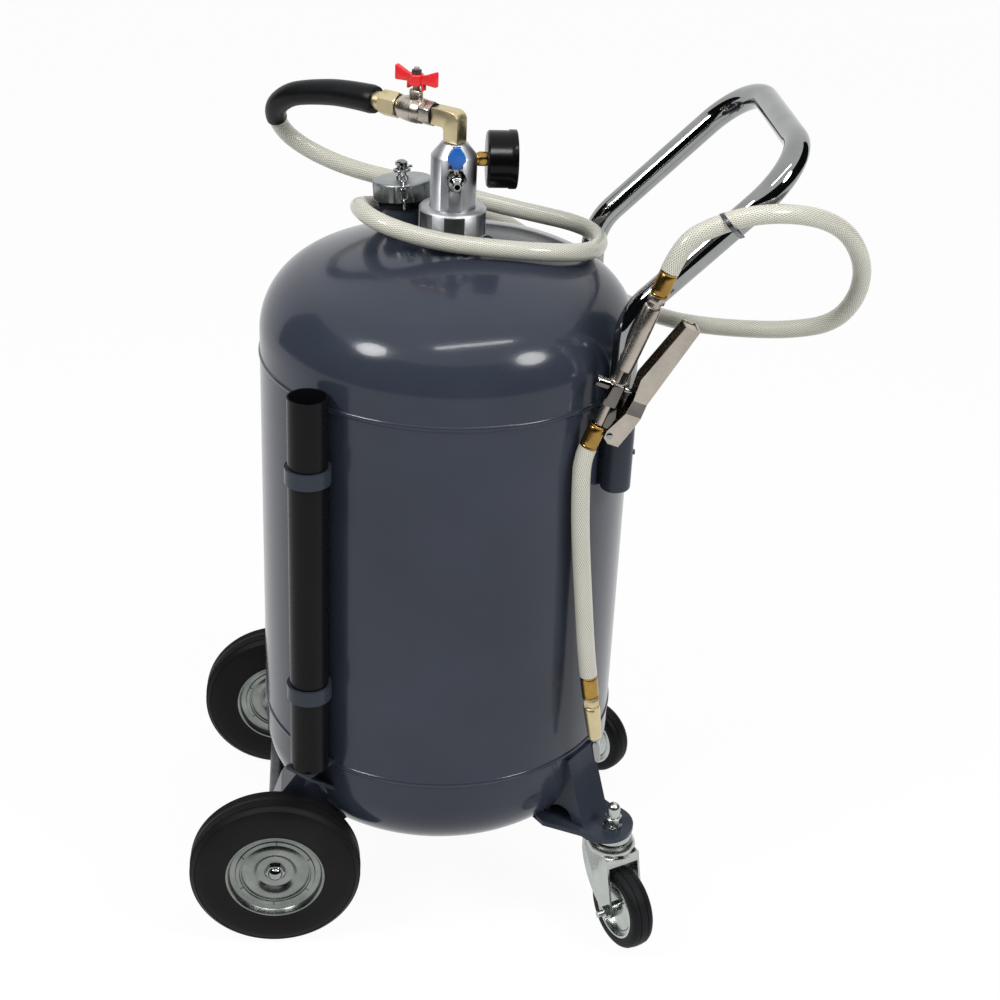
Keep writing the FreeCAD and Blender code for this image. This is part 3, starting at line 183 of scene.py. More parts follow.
def moulding(name, colours, roughness, grain, lift, coat, shine):
    # moulded plastic or rubber: grain that catches the light, drawn coarser than real to show
    skin = {"size": grain, "detail": 4, "from": (0.3, 0.7), "to": roughness, "lift": lift}
    cloud = {"size": 14, "detail": 4, "from": (0.3, 0.7), "colours": colours}
    return patternedMaterial(name, cloud, skin, skin,
                             {"Specular IOR Level": shine, "Coat Weight": coat, "Coat Roughness": 0.08})


def wheelRubber(name, colours):
    # moulded rubber: a dry bloom, and dust in a grain that is drawn coarser than real to show
    bloom = {"size": 40, "detail": 6}
    return patternedMaterial(name, {**bloom, "from": (0.35, 0.75), "colours": colours},
                             {**bloom, "from": (0, 1), "to": (0.46, 0.64)},
                             {"size": 0.9, "detail": 3, "lift": 0.06}, {"Specular IOR Level": 0.14})


def braidedHose():
    # clear extruded wall over a woven white braid: two sets of threads that cross under a glossy skin
    gaps = {"size": 60, "detail": 3, "from": (0.3, 0.7), "colours": ("878677", "959383")}
    material, tree, shader = newMaterial("clearPvcOverBraid")
    along = addNode(tree, "ShaderNodeUVMap", uv_map="UVMap").outputs["UV"]
    parts = addNode(tree, "ShaderNodeSeparateXYZ", {"Vector": along})
    threads = []
    for lean in (1, -1):
        slanted = addNode(tree, "ShaderNodeMath", {0: parts.outputs["X"], 1: lean, 2: parts.outputs["Y"]},
                          operation="MULTIPLY_ADD")
        turn = addNode(tree, "ShaderNodeMath", {0: slanted.outputs[0], 1: 2 * math.pi}, operation="MULTIPLY")
        threads.append(addNode(tree, "ShaderNodeMath", {0: turn.outputs[0]}, operation="SINE").outputs[0])
    crossing = addNode(tree, "ShaderNodeMath", {0: threads[0], 1: threads[1]}, operation="MAXIMUM")
    braid = addNode(tree, "ShaderNodeMapRange", {"Value": crossing.outputs[0], "From Min": 0.1,
                                                 "From Max": 0.95}).outputs["Result"]
    # a Mix node takes colours at its inputs 6 and 7 and gives them at its output 2
    mixed = addNode(tree, "ShaderNodeMix", {0: braid, 6: driftingColour(tree, gaps), 7: hexColour("CFCEC3")},
                    data_type="RGBA")
    bump = addNode(tree, "ShaderNodeBump", {"Height": braid, "Strength": 0.6, "Distance": 0.25 / 1000})
    plug(tree, shader, {"Base Color": mixed.outputs[2], "Roughness": 0.4, "Specular IOR Level": 0.4,
                        "Coat Weight": 0.5, "Coat Roughness": 0.08, "Normal": bump.outputs["Normal"]})
    return material


def gaugeGlass():
    # clear pressed window with faint smears
    material, tree, shader = newMaterial("clearGaugeGlass")
    smear = addNode(tree, "ShaderNodeMapRange", {"Value": patternOn(tree, {"size": 9, "detail": 3}),
                                                 "To Min": 0, "To Max": 0.05})
    plug(tree, shader, {"Base Color": hexColour("F4F7F8"), "Transmission Weight": 1, "IOR": 1.46,
                        "Roughness": smear.outputs["Result"]})
    return material


def dialFace():
    # printed white dial with a ring of plain tick marks, drawn round its own centre: each edge is soft between
    # two values, for the rings and the foot in metres from the centre
    dial = {"paper": "ECEBE6", "ink": "16171A", "ticks": 40, "tickEdge": (0.78, 0.84), "inner": (0.0215, 0.0217),
            "outer": (0.0262, 0.0264), "foot": (-0.0190, -0.0186)}
    material, tree, shader = newMaterial("printedWhiteDial")
    low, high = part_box("gauge_dial")
    place = addNode(tree, "ShaderNodeTexCoord").outputs["Object"]
    centred = addNode(tree, "ShaderNodeMapping", {"Vector": place, "Location": -(low + high) / 2}).outputs[0]
    parts = addNode(tree, "ShaderNodeSeparateXYZ", {"Vector": centred})
    distance = addNode(tree, "ShaderNodeVectorMath", {0: centred}, operation="LENGTH").outputs["Value"]
    angle = addNode(tree, "ShaderNodeMath", {0: parts.outputs["Y"], 1: parts.outputs["Z"]}, operation="ARCTAN2")
    many = addNode(tree, "ShaderNodeMath", {0: angle.outputs[0], 1: dial["ticks"]}, operation="MULTIPLY")
    wave = addNode(tree, "ShaderNodeMath", {0: many.outputs[0]}, operation="COSINE").outputs[0]
    marks = 1
    for value, (start, end), (before, after) in ((wave, dial["tickEdge"], (0, 1)), (distance, dial["inner"], (0, 1)),
                                                 (distance, dial["outer"], (1, 0)),
                                                 (parts.outputs["Z"], dial["foot"], (0, 1))):
        limit = addNode(tree, "ShaderNodeMapRange", {"Value": value, "From Min": start, "From Max": end,
                                                     "To Min": before, "To Max": after})
        marks = addNode(tree, "ShaderNodeMath", {0: marks, 1: limit.outputs["Result"]},
                        operation="MULTIPLY").outputs[0]
    mixed = addNode(tree, "ShaderNodeMix", {0: marks, 6: hexColour(dial["paper"]), 7: hexColour(dial["ink"])},
                    data_type="RGBA")
    plug(tree, shader, {"Base Color": mixed.outputs[2], "Roughness": 0.45})
    return material


finishes = {
    "tank_paint": enamel("greyBlueEnamel", ("292E38", "313642"), 0.16, 0.04, 0.2, 0.15),
    "bracket_paint": enamel("bracketEnamel", ("282D36", "313741"), 0.24, 0.04, 0.14, 0.06),
    "tube_paint": enamel("darkTubeEnamel", ("0A0A0C", "101013"), 0.26, 0.03, 0.12, 0),
    "chrome": plating("polishedChrome", ("8E9090", "9B9D9D"), (0.03, 0.06), 30, 0.0002),
    # darker copy of the polished chrome: its darker colour is painted shade and painted reflection of dark
    # surroundings
    "dark_chrome": plating("chromeWithPaintedShade", ("605D5A", "787471"), (0.08, 0.16), 12, 0.0003),
    "nickel": plating("satinNickel", ("ADA59A", "C0B8AD"), (0.24, 0.34), 2),
    "bright_nickel": plating("rubbedNickel", ("A89F95", "BFB7AC"), (0.22, 0.32), 1.6),
    "zinc": plating("brightZinc", ("AAB0AC", "BEC2BE"), (0.22, 0.3), 3),
    "rim_zinc": plating("pressedZinc", ("757A77", "8F9390"), (0.25, 0.33), 6),
    "brass": plating("drawnBrass", ("94733B", "B08E4C"), (0.2, 0.3), 2.5, stretch=(1, 1, 0.2)),
    "pale_brass": plating("chromatedBrass", ("CABC94", "D8CAA4"), (0.34, 0.42), 5),
    "dark_steel": plating("plainSteel", ("4A4C4E", "626466"), (0.3, 0.45), 3),
    "cap_casting": plating("dullCastAluminium", ("8E9293", "A3A7A7"), (0.34, 0.46), 1.4, 0.008),
    "nut_aluminium": plating("castAluminium", ("B2B4B7", "C1C3C6"), (0.42, 0.52), 2, 0.004),
    "machined_aluminium": turnedMetal("turnedAluminium", ("ACAEB2", "BCBEC2"), 0.34),
    "black_plastic": moulding("blackMouldedAbs", ("050506", "09090A"), (0.16, 0.26), 1.2, 0.008, 0.04, 0.14),
    "blue_plastic": moulding("blueMouldedNylon", ("0B4A96", "155CAB"), (0.26, 0.38), 1.5, 0.02, 0.2, 0.4),
    "red_plastic": moulding("redDippedVinyl", ("C4161A", "D9222A"), (0.26, 0.38), 2, 0.03, 0.2, 0.4),
    "black_rubber": moulding("smoothMouldedRubber", ("08090A", "101113"), (0.3, 0.42), 1.2, 0.02, 0, 0.16),
    "wheel_rubber": wheelRubber("tyreRubber", ("0D0D0E", "171616")),
    "caster_tread": wheelRubber("casterRubber", ("0F1012", "1A1B1D")),
    "braided_pvc": braidedHose(),
    "clear_lens": gaugeGlass(),
    "white_dial": dialFace(),
}
print("finishes made:", len(finishes))

slotOf = {part["node"]: part["material_slot"] for part in frame["record"]["subparts"]}
bodyOf = {node: body for body, nodes in frame["record"]["behaviour"]["bodies"].items() for node in nodes}

# Pieces whose finish differs from the rest of their slot: the air valve body's darker chrome is painted shade, the
# others are their real finishes
ownFinish = {"outlet_elbow": "pale_brass", "hose_nipple": "pale_brass", "nozzle_body": "pale_brass",
             "air_valve_body": "dark_chrome", "hose_clip": "dark_steel", "handle_nut": "dark_steel",
             "rear_rim_left": "rim_zinc", "rear_rim_right": "rim_zinc", "ring_nut": "nut_aluminium",
             "gun_swivel": "bright_nickel", "gun_body": "bright_nickel"}
shown = {}  # the piece that is shown instead of each node


# Helpers for new pieces
def meshOf(work, name):
    mesh = bpy.data.meshes.new(name)
    work.to_mesh(mesh)
    work.free()
    return mesh


def smoothEdges(mesh, angle=32):
    for polygon in mesh.polygons:
        polygon.use_smooth = True
    mesh.set_sharp_from_angle(angle=math.radians(angle))


def addPiece(name, node, mesh, finish=None, instead=True):
    # a piece moves with its node and takes its slot, and is shown instead of the node or beside another piece of it
    piece = linked(name, mesh)
    mesh.materials.clear()
    mesh.materials.append(finishes[finish or ownFinish.get(node, slotOf[node])])
    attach(piece, bodyOf[node])
    if instead:
        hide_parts(node)
        shown[node] = piece
    return piece


def placedPiece(name, node, work, at, zAxis, xAxis, finish=None, instead=True):
    # the shape is set with its own Z and X along the given directions, at a place in the frame
    up = Vector(zAxis).normalized()
    side = Vector(xAxis)
    side = (side - up * side.dot(up)).normalized()
    turn = Matrix((side, up.cross(side), up)).transposed().to_4x4()
    bmesh.ops.transform(work, matrix=Matrix.Translation(at) @ turn, verts=work.verts)
    bmesh.ops.recalc_face_normals(work, faces=work.faces)
    mesh = meshOf(work, name)
    smoothEdges(mesh)
    return addPiece(name, node, mesh, finish, instead)


def joinedCopy(node):
    # the node's loose triangles with their corners joined
    work = bmesh.new()
    work.from_mesh(frame["nodes"][node].data)
    bmesh.ops.remove_doubles(work, verts=work.verts, dist=0.00001)
    return work


def smoothCopy(node):
    # the node's own shape with its flat triangles merged, so that round faces shade smoothly
    work = joinedCopy(node)
    bmesh.ops.dissolve_limit(work, angle_limit=math.radians(0.5), verts=work.verts, edges=work.edges)
    mesh = meshOf(work, node + "_smooth")
    smoothEdges(mesh)
    addPiece(node + "_smooth", node, mesh)


def turnedShape(work, profile, steps=96, closed=False):
    # a lathe shape round Z: points given as radius and height in millimetres
    rim = [work.verts.new((radius / 1000, 0, height / 1000)) for radius, height in profile]
    edges = [work.edges.new(pair) for pair in zip(rim, rim[1:])]
    if closed:
        edges.append(work.edges.new((rim[-1], rim[0])))
    bmesh.ops.spin(work, geom=rim + edges, cent=(0, 0, 0), axis=(0, 0, 1), angle=2 * math.pi, steps=steps,
                   use_merge=True)
    bmesh.ops.remove_doubles(work, verts=work.verts, dist=0.000005)


def prismShape(work, points, low, high, edge=0.0, steps=2):
    # an outline in X and Y, in millimetres, from one height to another with its edges rounded
    ring = [work.verts.new((x / 1000, y / 1000, low / 1000)) for x, y in points]
    foot = work.faces.new(ring)
    lifted = bmesh.ops.extrude_face_region(work, geom=[foot])["geom"]
    tops = [v for v in lifted if isinstance(v, bmesh.types.BMVert)]
    bmesh.ops.translate(work, verts=tops, vec=(0, 0, (high - low) / 1000))
    if edge:
        own = set(ring) | set(tops)
        edges = [e for e in work.edges if e.verts[0] in own and e.verts[1] in own]
        bmesh.ops.bevel(work, geom=edges, offset=edge / 1000, segments=steps, profile=0.5, affect="EDGES",
                        material=-1)


def turnedPoint(x, y, degrees):
    angle = math.radians(degrees)
    return x * math.cos(angle) - y * math.sin(angle), x * math.sin(angle) + y * math.cos(angle)


def hexagonShape(work, flats, low, high, edge, turn=0):
    prismShape(work, [turnedPoint(flats / math.sqrt(3), 0, turn + 60 * i) for i in range(6)], low, high, edge)


def bothWays(face):
    # half a wheel's outline, mirrored to its other side
    return face + [(radius, -height) for radius, height in reversed(face) if height]


# Hoses
hose = {"diameter": 20, "sides": 28, "order": 3, "resolution": 16, "threadPitch": 2.4, "threadsRound": 26}
deliveryRoute = [
    (-82.2, 65.4, 950), (-115.0, 91.5, 950), (-153, 117, 943), (-178, 133, 935), (-196, 156, 912), (-186, 175, 881),
    (-159, 177, 859), (-120, 166, 844), (-77, 148, 837), (-18, 129, 832), (39, 118, 820), (97, 115, 807),
    (146, 110, 798), (169, 87, 795), (172, 46, 795), (152, -4, 804), (112, -37, 815), (49, -50, 823.5),
    (-16, -50, 831), (-60, -43, 841), (-88, -24, 847), (-101, 14, 846), (-99, 58, 833), (-78, 98, 820),
    (-40, 136, 809), (10, 168, 799), (66, 198, 772), (118, 208, 735), (165, 202, 702), (207, 180, 680),
    (243, 143, 675), (270, 92, 684), (300, 50, 695), (339, 12, 707), (383, -18, 719), (423, -44, 738),
    (440, -65, 775), (438, -84, 819), (414, -108, 862), (379, -136, 891), (333, -163, 908), (288, -170, 908),
    (251, -171, 896), (220.5, -175, 880), (209.4, -175, 848.9),
]
outletRoute = [
    (139.1, -175, 651), (134, -175, 637), (133.5, -178.5, 607), (136, -177, 560), (141.5, -175, 503),
    (147, -175, 452), (153.0, -175, 395.3), (157.9, -175, 362.7),
]


def routeLine(points):
    # the NURBS curve that a hose follows, and its points from end to end
    curve = bpy.data.curves.new("route", "CURVE")
    curve.dimensions = "3D"
    spline = curve.splines.new("NURBS")
    spline.points.add(len(points) - 1)
    for spot, point in zip(spline.points, points):
        spot.co = (*fromTank(*point), 1)
    spline.order_u = hose["order"]
    spline.use_endpoint_u = True
    curve.resolution_u = hose["resolution"]
    holder = linked("route", curve)
    bpy.context.view_layer.update()
    line = bpy.data.meshes.new_from_object(holder.evaluated_get(bpy.context.evaluated_depsgraph_get()))
    path = [v.co.copy() for v in line.vertices]
    bpy.data.meshes.remove(line)
    bpy.data.objects.remove(holder)
    return path


def distances(path):
    # metres along the path to each of its points
    total = [0.0]
    for a, b in zip(path, path[1:]):
        total.append(total[-1] + (b - a).length)
    return total


def tubeAlong(name, path, radii, steps):
    # each ring turns as little as it can from the one before, and the UV map counts threads
    work = bmesh.new()
    uvLayer = work.loops.layers.uv.new("UVMap")
    threads = [total * 1000 / hose["threadPitch"] / 2 for total in distances(path)]
    facing = (path[1] - path[0]).normalized()
    side = facing.orthogonal().normalized()
    rings = []
    for i, point in enumerate(path):
        ahead = (path[min(i + 1, len(path) - 1)] - path[max(i - 1, 0)]).normalized()
        side = facing.rotation_difference(ahead) @ side
        facing = ahead
        turn = Matrix((side, facing.cross(side), facing)).transposed().to_4x4()
        ring = bmesh.ops.create_circle(work, radius=radii[i] / 1000, segments=steps, cap_ends=False,
                                       matrix=Matrix.Translation(point) @ turn)["verts"]
        rings.append(ring)
    for i, (a, b) in enumerate(zip(rings, rings[1:])):
        for j in range(steps):
            k = (j + 1) % steps
            face = work.faces.new((a[j], a[k], b[k], b[j]))
            corners = ((i, j), (i, j + 1), (i + 1, j + 1), (i + 1, j))
            for loop, (along, around) in zip(face.loops, corners):
                loop[uvLayer].uv = (threads[along], around * hose["threadsRound"] / steps)
    for ring in (rings[0], rings[-1]):
        work.faces.new(ring)
    bmesh.ops.recalc_face_normals(work, faces=work.faces)
    mesh = meshOf(work, name)
    smoothEdges(mesh, 50)
    return mesh


deliveryPath = routeLine(deliveryRoute)
outletPath = routeLine(outletRoute)
for name, path in (("delivery_hose", deliveryPath), ("outlet_hose", outletPath)):
    mesh = tubeAlong(name + "_braided", path, [hose["diameter"] / 2] * len(path), hose["sides"])
    addPiece(name + "_braided", name, mesh)
    print(name, "length", round(distances(path)[-1], 3))

# Rubber bend guard over the first stretch of the delivery hose, drawn in at its lip
bendGuard = {"length": 170, "startRadius": 15.8, "endRadius": 11.8, "lip": 4, "drawnIn": 1.2, "sides": 36}
guardPath = []
guardRadii = []
for point, metres in zip(deliveryPath, distances(deliveryPath)):
    along = metres * 1000
    if along <= bendGuard["length"]:
        taper = (bendGuard["endRadius"] - bendGuard["startRadius"]) * (along / bendGuard["length"])
        guardPath.append(point)
        guardRadii.append(bendGuard["startRadius"] + taper
                          - bendGuard["drawnIn"] * max(0, 1 - along / bendGuard["lip"]))
addPiece("bend_guard_sleeve", "bend_guard", tubeAlong("bend_guard_sleeve", guardPath, guardRadii, bendGuard["sides"]))
print("hoses made")

# Push handle: one bent tube
pushHandle = {"radius": 14, "legX": 177, "half": 140, "foot": 590, "rakeStart": 784.5, "gripX": 349.1, "bend": 70,
              "bendSteps": 24, "sides": 64}
gripHeight = pushHandle["rakeStart"] + pushHandle["gripX"] - pushHandle["legX"]
farLeg = [(pushHandle["gripX"], pushHandle["half"], gripHeight),
          (pushHandle["legX"], pushHandle["half"], pushHandle["rakeStart"]),
          (pushHandle["legX"], pushHandle["half"], pushHandle["foot"])]
handleCorners = [fromTank(x, -y, z) for x, y, z in reversed(farLeg)] + [fromTank(*corner) for corner in farLeg]
handlePath = [handleCorners[0]]
for before, corner, after in zip(handleCorners, handleCorners[1:], handleCorners[2:]):
    back = (before - corner).normalized()
    ahead = (after - corner).normalized()
    half = back.angle(ahead) / 2
    reach = pushHandle["bend"] / 1000 / math.tan(half)
    centre = corner + (back + ahead).normalized() * pushHandle["bend"] / 1000 / math.sin(half)
    first = corner + back * reach - centre
    last = corner + ahead * reach - centre
    for step in range(pushHandle["bendSteps"] + 1):
        swing = first.angle(last) * step / pushHandle["bendSteps"]
        handlePath.append(centre + Quaternion(first.cross(last), swing) @ first)
handlePath.append(handleCorners[-1])
mesh = tubeAlong("push_handle_tube", handlePath, [pushHandle["radius"]] * len(handlePath), pushHandle["sides"])
addPiece("push_handle_tube", "push_handle", mesh)

# Forged elbow: a square bar with rounded edges, up from the adaptor and out along the valve
valve = {"turn": 141.5, "height": 950, "stemAt": 51.5}
valveAxis = Vector((*turnedPoint(1, 0, valve["turn"]), 0))
valveAcross = valveAxis.cross(upright)
valveMiddle = fromTank(0, 0, valve["height"])
stemFoot = fromTank(*(valveAxis * valve["stemAt"]))
elbow = {
    "half": 9.4, "edge": 1.4,
    "outline": [(-9.4, 925.2), (9.4, 925.2), (9.4, 938.6), (11.4, 940.6), (26, 940.6), (26, 959.4), (1, 959.4),
                (-3, 958.6), (-6.4, 956.4), (-8.6, 953), (-9.4, 949)],
}
work = bmesh.new()
prismShape(work, elbow["outline"], -elbow["half"], elbow["half"], elbow["edge"])
placedPiece("outlet_elbow_forged", "outlet_elbow", work, fromTank(0, 0, 0), valveAcross, valveAxis)

# Ball valve: a hexagon at the elbow, a round barrel to the hose, the stem's boss and a dark seam at each end
ballValve = {
    "flats": 24, "hexStart": 27, "hexEnd": 41, "hexEdge": 1, "barrelSides": 64, "sides": 48, "seamBore": 6,
    "barrel": [(7, 39), (12.2, 40), (13.4, 41.4), (13.6, 44), (14.3, 46.4), (14.4, 51), (14, 51.5), (14.4, 52),
               (14.2, 57), (13.6, 63), (12.8, 67), (12.2, 68.5), (11.8, 71), (11.2, 72), (7, 72)],
    "boss": [(4.1, 0), (8.4, 0), (8, 12), (7.4, 14), (7.4, 21), (6.5, 22), (4.1, 22)],
    "seams": [(11.6, 25.8, 27.2), (11.5, 71.8, 73.3)],
}
work = bmesh.new()
hexagonShape(work, ballValve["flats"], ballValve["hexStart"], ballValve["hexEnd"], ballValve["hexEdge"])
turnedShape(work, ballValve["barrel"], ballValve["barrelSides"])
placedPiece("ball_valve_housing", "ball_valve_body", work, valveMiddle, valveAxis, upright)
work = bmesh.new()
turnedShape(work, ballValve["boss"], ballValve["sides"])
placedPiece("ball_valve_boss", "ball_valve_body", work, valveMiddle + valveAxis * valve["stemAt"] / 1000, upright,
            forward, instead=False)
work = bmesh.new()
for radius, low, high in ballValve["seams"]:
    bore = ballValve["seamBore"]
    turnedShape(work, [(bore, low), (radius, low), (radius, high), (bore, high)], ballValve["sides"])
placedPiece("ball_valve_seams", "ball_valve_body", work, valveMiddle, valveAxis, upright, "black_rubber",
            instead=False)

# Butterfly handle: two flared paddles on a hub, with a stop under each side
butterfly = {
    "half": 2.8, "edge": 0.9, "stopHalf": 3.2, "stopEdge": 0.5, "hubSides": 48,
    "paddle": [(4, 979), (10, 979.5), (26, 978.6), (27, 979.6), (27, 994.2), (25.5, 995.2), (11, 989), (4, 988.6)],
    "stop": [(8.4, 972.5), (11, 972.5), (10.5, 980), (7.5, 980)],
    "hub": [(3.1, 977), (7.4, 977), (8, 977.8), (8, 987.6), (7, 989), (3.1, 989)],
}
work = bmesh.new()
for side in (-1, 1):
    for outline, half, edge in (("paddle", butterfly["half"], butterfly["edge"]),
                                ("stop", butterfly["stopHalf"], butterfly["stopEdge"])):
        prismShape(work, [(side * x, z) for x, z in butterfly[outline]], -half, half, edge)
placedPiece("butterfly_paddles", "butterfly_handle", work, stemFoot, valveAcross, valveAxis)
work = bmesh.new()
turnedShape(work, butterfly["hub"], butterfly["hubSides"])
placedPiece("butterfly_hub", "butterfly_handle", work, stemFoot, upright, forward, instead=False)

# Rear wheels: pressed rim with a notched ring, each notch drawn as a thin dark plate of painted shade,
# round-shouldered tyre with fine grooves
rearWheel = {
    "x": -197, "plane": 179, "radius": 100, "rimSides": 96, "tyreSides": 144,
    "rim": [(8.1, 8), (12.5, 8), (13, 9.2), (21.5, 9.2), (23, 10.4), (25.5, 13), (29, 14.8), (33, 15.2), (37, 14),
            (40, 12), (41.2, 12.2), (42, 14), (46, 14), (46.8, 12.4), (50, 12.2), (53, 13.4), (54.6, 16), (55, 19.4),
            (56, 20.3), (57.5, 20.3), (57.5, 18), (56, 18)],
    "tyre": [(56, 18), (57.6, 18), (57.6, 20.3), (59, 21), (62, 20.7), (63, 21), (84, 21), (88, 20.4), (92.5, 18.8),
             (93.5, 18.2), (94.2, 18.7), (97, 15.8), (98.3, 14)],
    "grooves": [12.5, 9.5, 6.5, 3.5], "groove": [(99.4, 0.9), (98, 0), (99.6, -0.9)],
    "notches": 6, "notchTurn": 27, "notchFrom": 42.2, "notchTo": 46.2, "notchHalf": 0.8, "notchLow": 13.5,
    "notchHigh": 14.15,
}
tyreFace = list(rearWheel["tyre"])
for middle in rearWheel["grooves"]:
    tyreFace += [(radius, middle + aside) for radius, aside in rearWheel["groove"]]
tyreFace.append((rearWheel["radius"], 0))
for side, mirror in (("left", -1), ("right", 1)):
    at = fromTank(rearWheel["x"], mirror * rearWheel["plane"], rearWheel["radius"])
    outwards = nearSide * -mirror
    work = bmesh.new()
    turnedShape(work, bothWays(rearWheel["rim"]), rearWheel["rimSides"], closed=True)
    placedPiece("rear_rim_pressed_" + side, "rear_rim_" + side, work, at, outwards, forward)
    # thin dark plates on both faces of the rim at each notch: painted shade for the notch's recess
    work = bmesh.new()
    for i in range(rearWheel["notches"]):
        turn = rearWheel["notchTurn"] + 360 / rearWheel["notches"] * i
        corners = [turnedPoint(radius, half * rearWheel["notchHalf"], turn) for radius, half in
                   ((rearWheel["notchFrom"], -1), (rearWheel["notchTo"], -1), (rearWheel["notchTo"], 1),
                    (rearWheel["notchFrom"], 1))]
        for face in (-1, 1):
            prismShape(work, corners, face * rearWheel["notchLow"], face * rearWheel["notchHigh"])
    placedPiece("rear_rim_notch_shade_" + side, "rear_rim_" + side, work, at, outwards, forward, "dark_steel",
                instead=False)
    work = bmesh.new()
    turnedShape(work, bothWays(tyreFace), rearWheel["tyreSides"], closed=True)
    placedPiece("rear_tyre_grooved_" + side, "rear_tyre_" + side, work, at, outwards, forward)

# Caster tyres: round shoulders and two fine grooves, each wheel turned as its fork stands
caster = {
    "radius": 50, "sides": 120, "stemX": 201, "stemY": 172,
    "wheels": {"left": (215.8, -203.7), "right": (226.2, 147.7)},
    "tyre": [(36.1, 12.4), (37.4, 13.6), (42, 14), (45.4, 13.3), (47.6, 11.6), (49, 9.2), (49.5, 5.6), (48.5, 5),
             (49.7, 4.4), (50, 0)],
}
for side, mirror in (("left", -1), ("right", 1)):
    wheelX, wheelY = caster["wheels"][side]
    axle = Vector((mirror * caster["stemY"] - wheelY, wheelX - caster["stemX"], 0))
    work = bmesh.new()
    turnedShape(work, bothWays(caster["tyre"]), caster["sides"], closed=True)
    placedPiece("caster_tyre_grooved_" + side, "caster_tyre_" + side, work,
                fromTank(wheelX, wheelY, caster["radius"]), axle, upright)

# Small nut on the valve's stem
handleNut = {"flats": 9.5, "low": 989.1, "high": 993.6, "edge": 0.6}
work = bmesh.new()
hexagonShape(work, handleNut["flats"], handleNut["low"], handleNut["high"], handleNut["edge"])
placedPiece("handle_nut_small", "handle_nut", work, stemFoot, upright, forward)

# Air inlet: hexagon body with a turned end, and the blue key on its stem
inlet = {
    "height": 895, "start": 26.5, "hexEnd": 37.5, "flats": 20.8, "edge": 1.2, "sides": 48,
    "end": [(3.2, 37.5), (9.2, 37.5), (8.5, 39), (8.5, 43.5), (7.6, 46), (3.2, 46)],
}
airKey = {
    "out": 38, "half": 4.3, "edge": 0.9, "stemSides": 32,
    "side": [(4.6, 908), (5.4, 912.5), (9.5, 916), (9.5, 920.5), (6.4, 926.5), (4.4, 928), (4.2, 931)],
    "stem": [(0, 896), (2.9, 896), (2.9, 909), (0, 909)],
}
# the inlet's hexagon body is drawn in the darker chrome, which is painted shade
work = bmesh.new()
hexagonShape(work, inlet["flats"], inlet["start"], inlet["hexEnd"], inlet["edge"])
turnedShape(work, inlet["end"], inlet["sides"])
placedPiece("air_valve_hexagon", "air_valve_body", work, fromTank(0, 0, inlet["height"]), nearSide, forward)
keyFoot = fromTank(0, -airKey["out"], 0)
work = bmesh.new()
prismShape(work, airKey["side"] + [(-x, z) for x, z in reversed(airKey["side"])], -airKey["half"], airKey["half"],
           airKey["edge"])
placedPiece("air_key_moulded", "air_valve_handle", work, keyFoot, nearSide, forward)
work = bmesh.new()
turnedShape(work, airKey["stem"], airKey["stemSides"])
placedPiece("air_key_stem", "air_valve_handle", work, keyFoot, upright, forward, "chrome", instead=False)

# Black gasket under the filler cap
gasket = {
    "at": (-48, 58, 809.8), "lean": (-0.07834, 0.09336, 0.99255), "sides": 72,
    "section": [(25.5, 24.6), (28.1, 24.9), (28.3, 26), (28.3, 31.4), (27.9, 32.3), (25.5, 32.5)],
}
work = bmesh.new()
turnedShape(work, gasket["section"], gasket["sides"])
placedPiece("filler_gasket", "filler_neck", work, fromTank(*gasket["at"]), gasket["lean"], forward, "black_rubber",
            instead=False)

# Safety chain: the solid's links, grown and hung a little longer and heavier from the top one
chainGrowth = {"link": 1.3, "drop": 1.3, "out": 1.2}
work = joinedCopy("safety_chain")
loose = set(work.verts)
links = []  # each one the corners that edges join
for start in work.verts:
    if start in loose:
        loose.remove(start)
        link = [start]
        for spot in link:
            for edge in spot.link_edges:
                other = edge.other_vert(spot)
                if other in loose:
                    loose.remove(other)
                    link.append(other)
        links.append(link)
middles = [sum((v.co for v in link), Vector()) / len(link) for link in links]
chainTop = max(middle.z for middle in middles)
for link, middle in zip(links, middles):
    fall = chainTop - middle.z
    if fall > 0:
        hung = Vector((middle.x, middle.y - chainGrowth["out"] / 1000, chainTop - fall * chainGrowth["drop"]))
        for v in link:
            v.co = hung + (v.co - middle) * chainGrowth["link"]
mesh = meshOf(work, "safety_chain_links")
smoothEdges(mesh)
addPiece("safety_chain_links", "safety_chain", mesh)

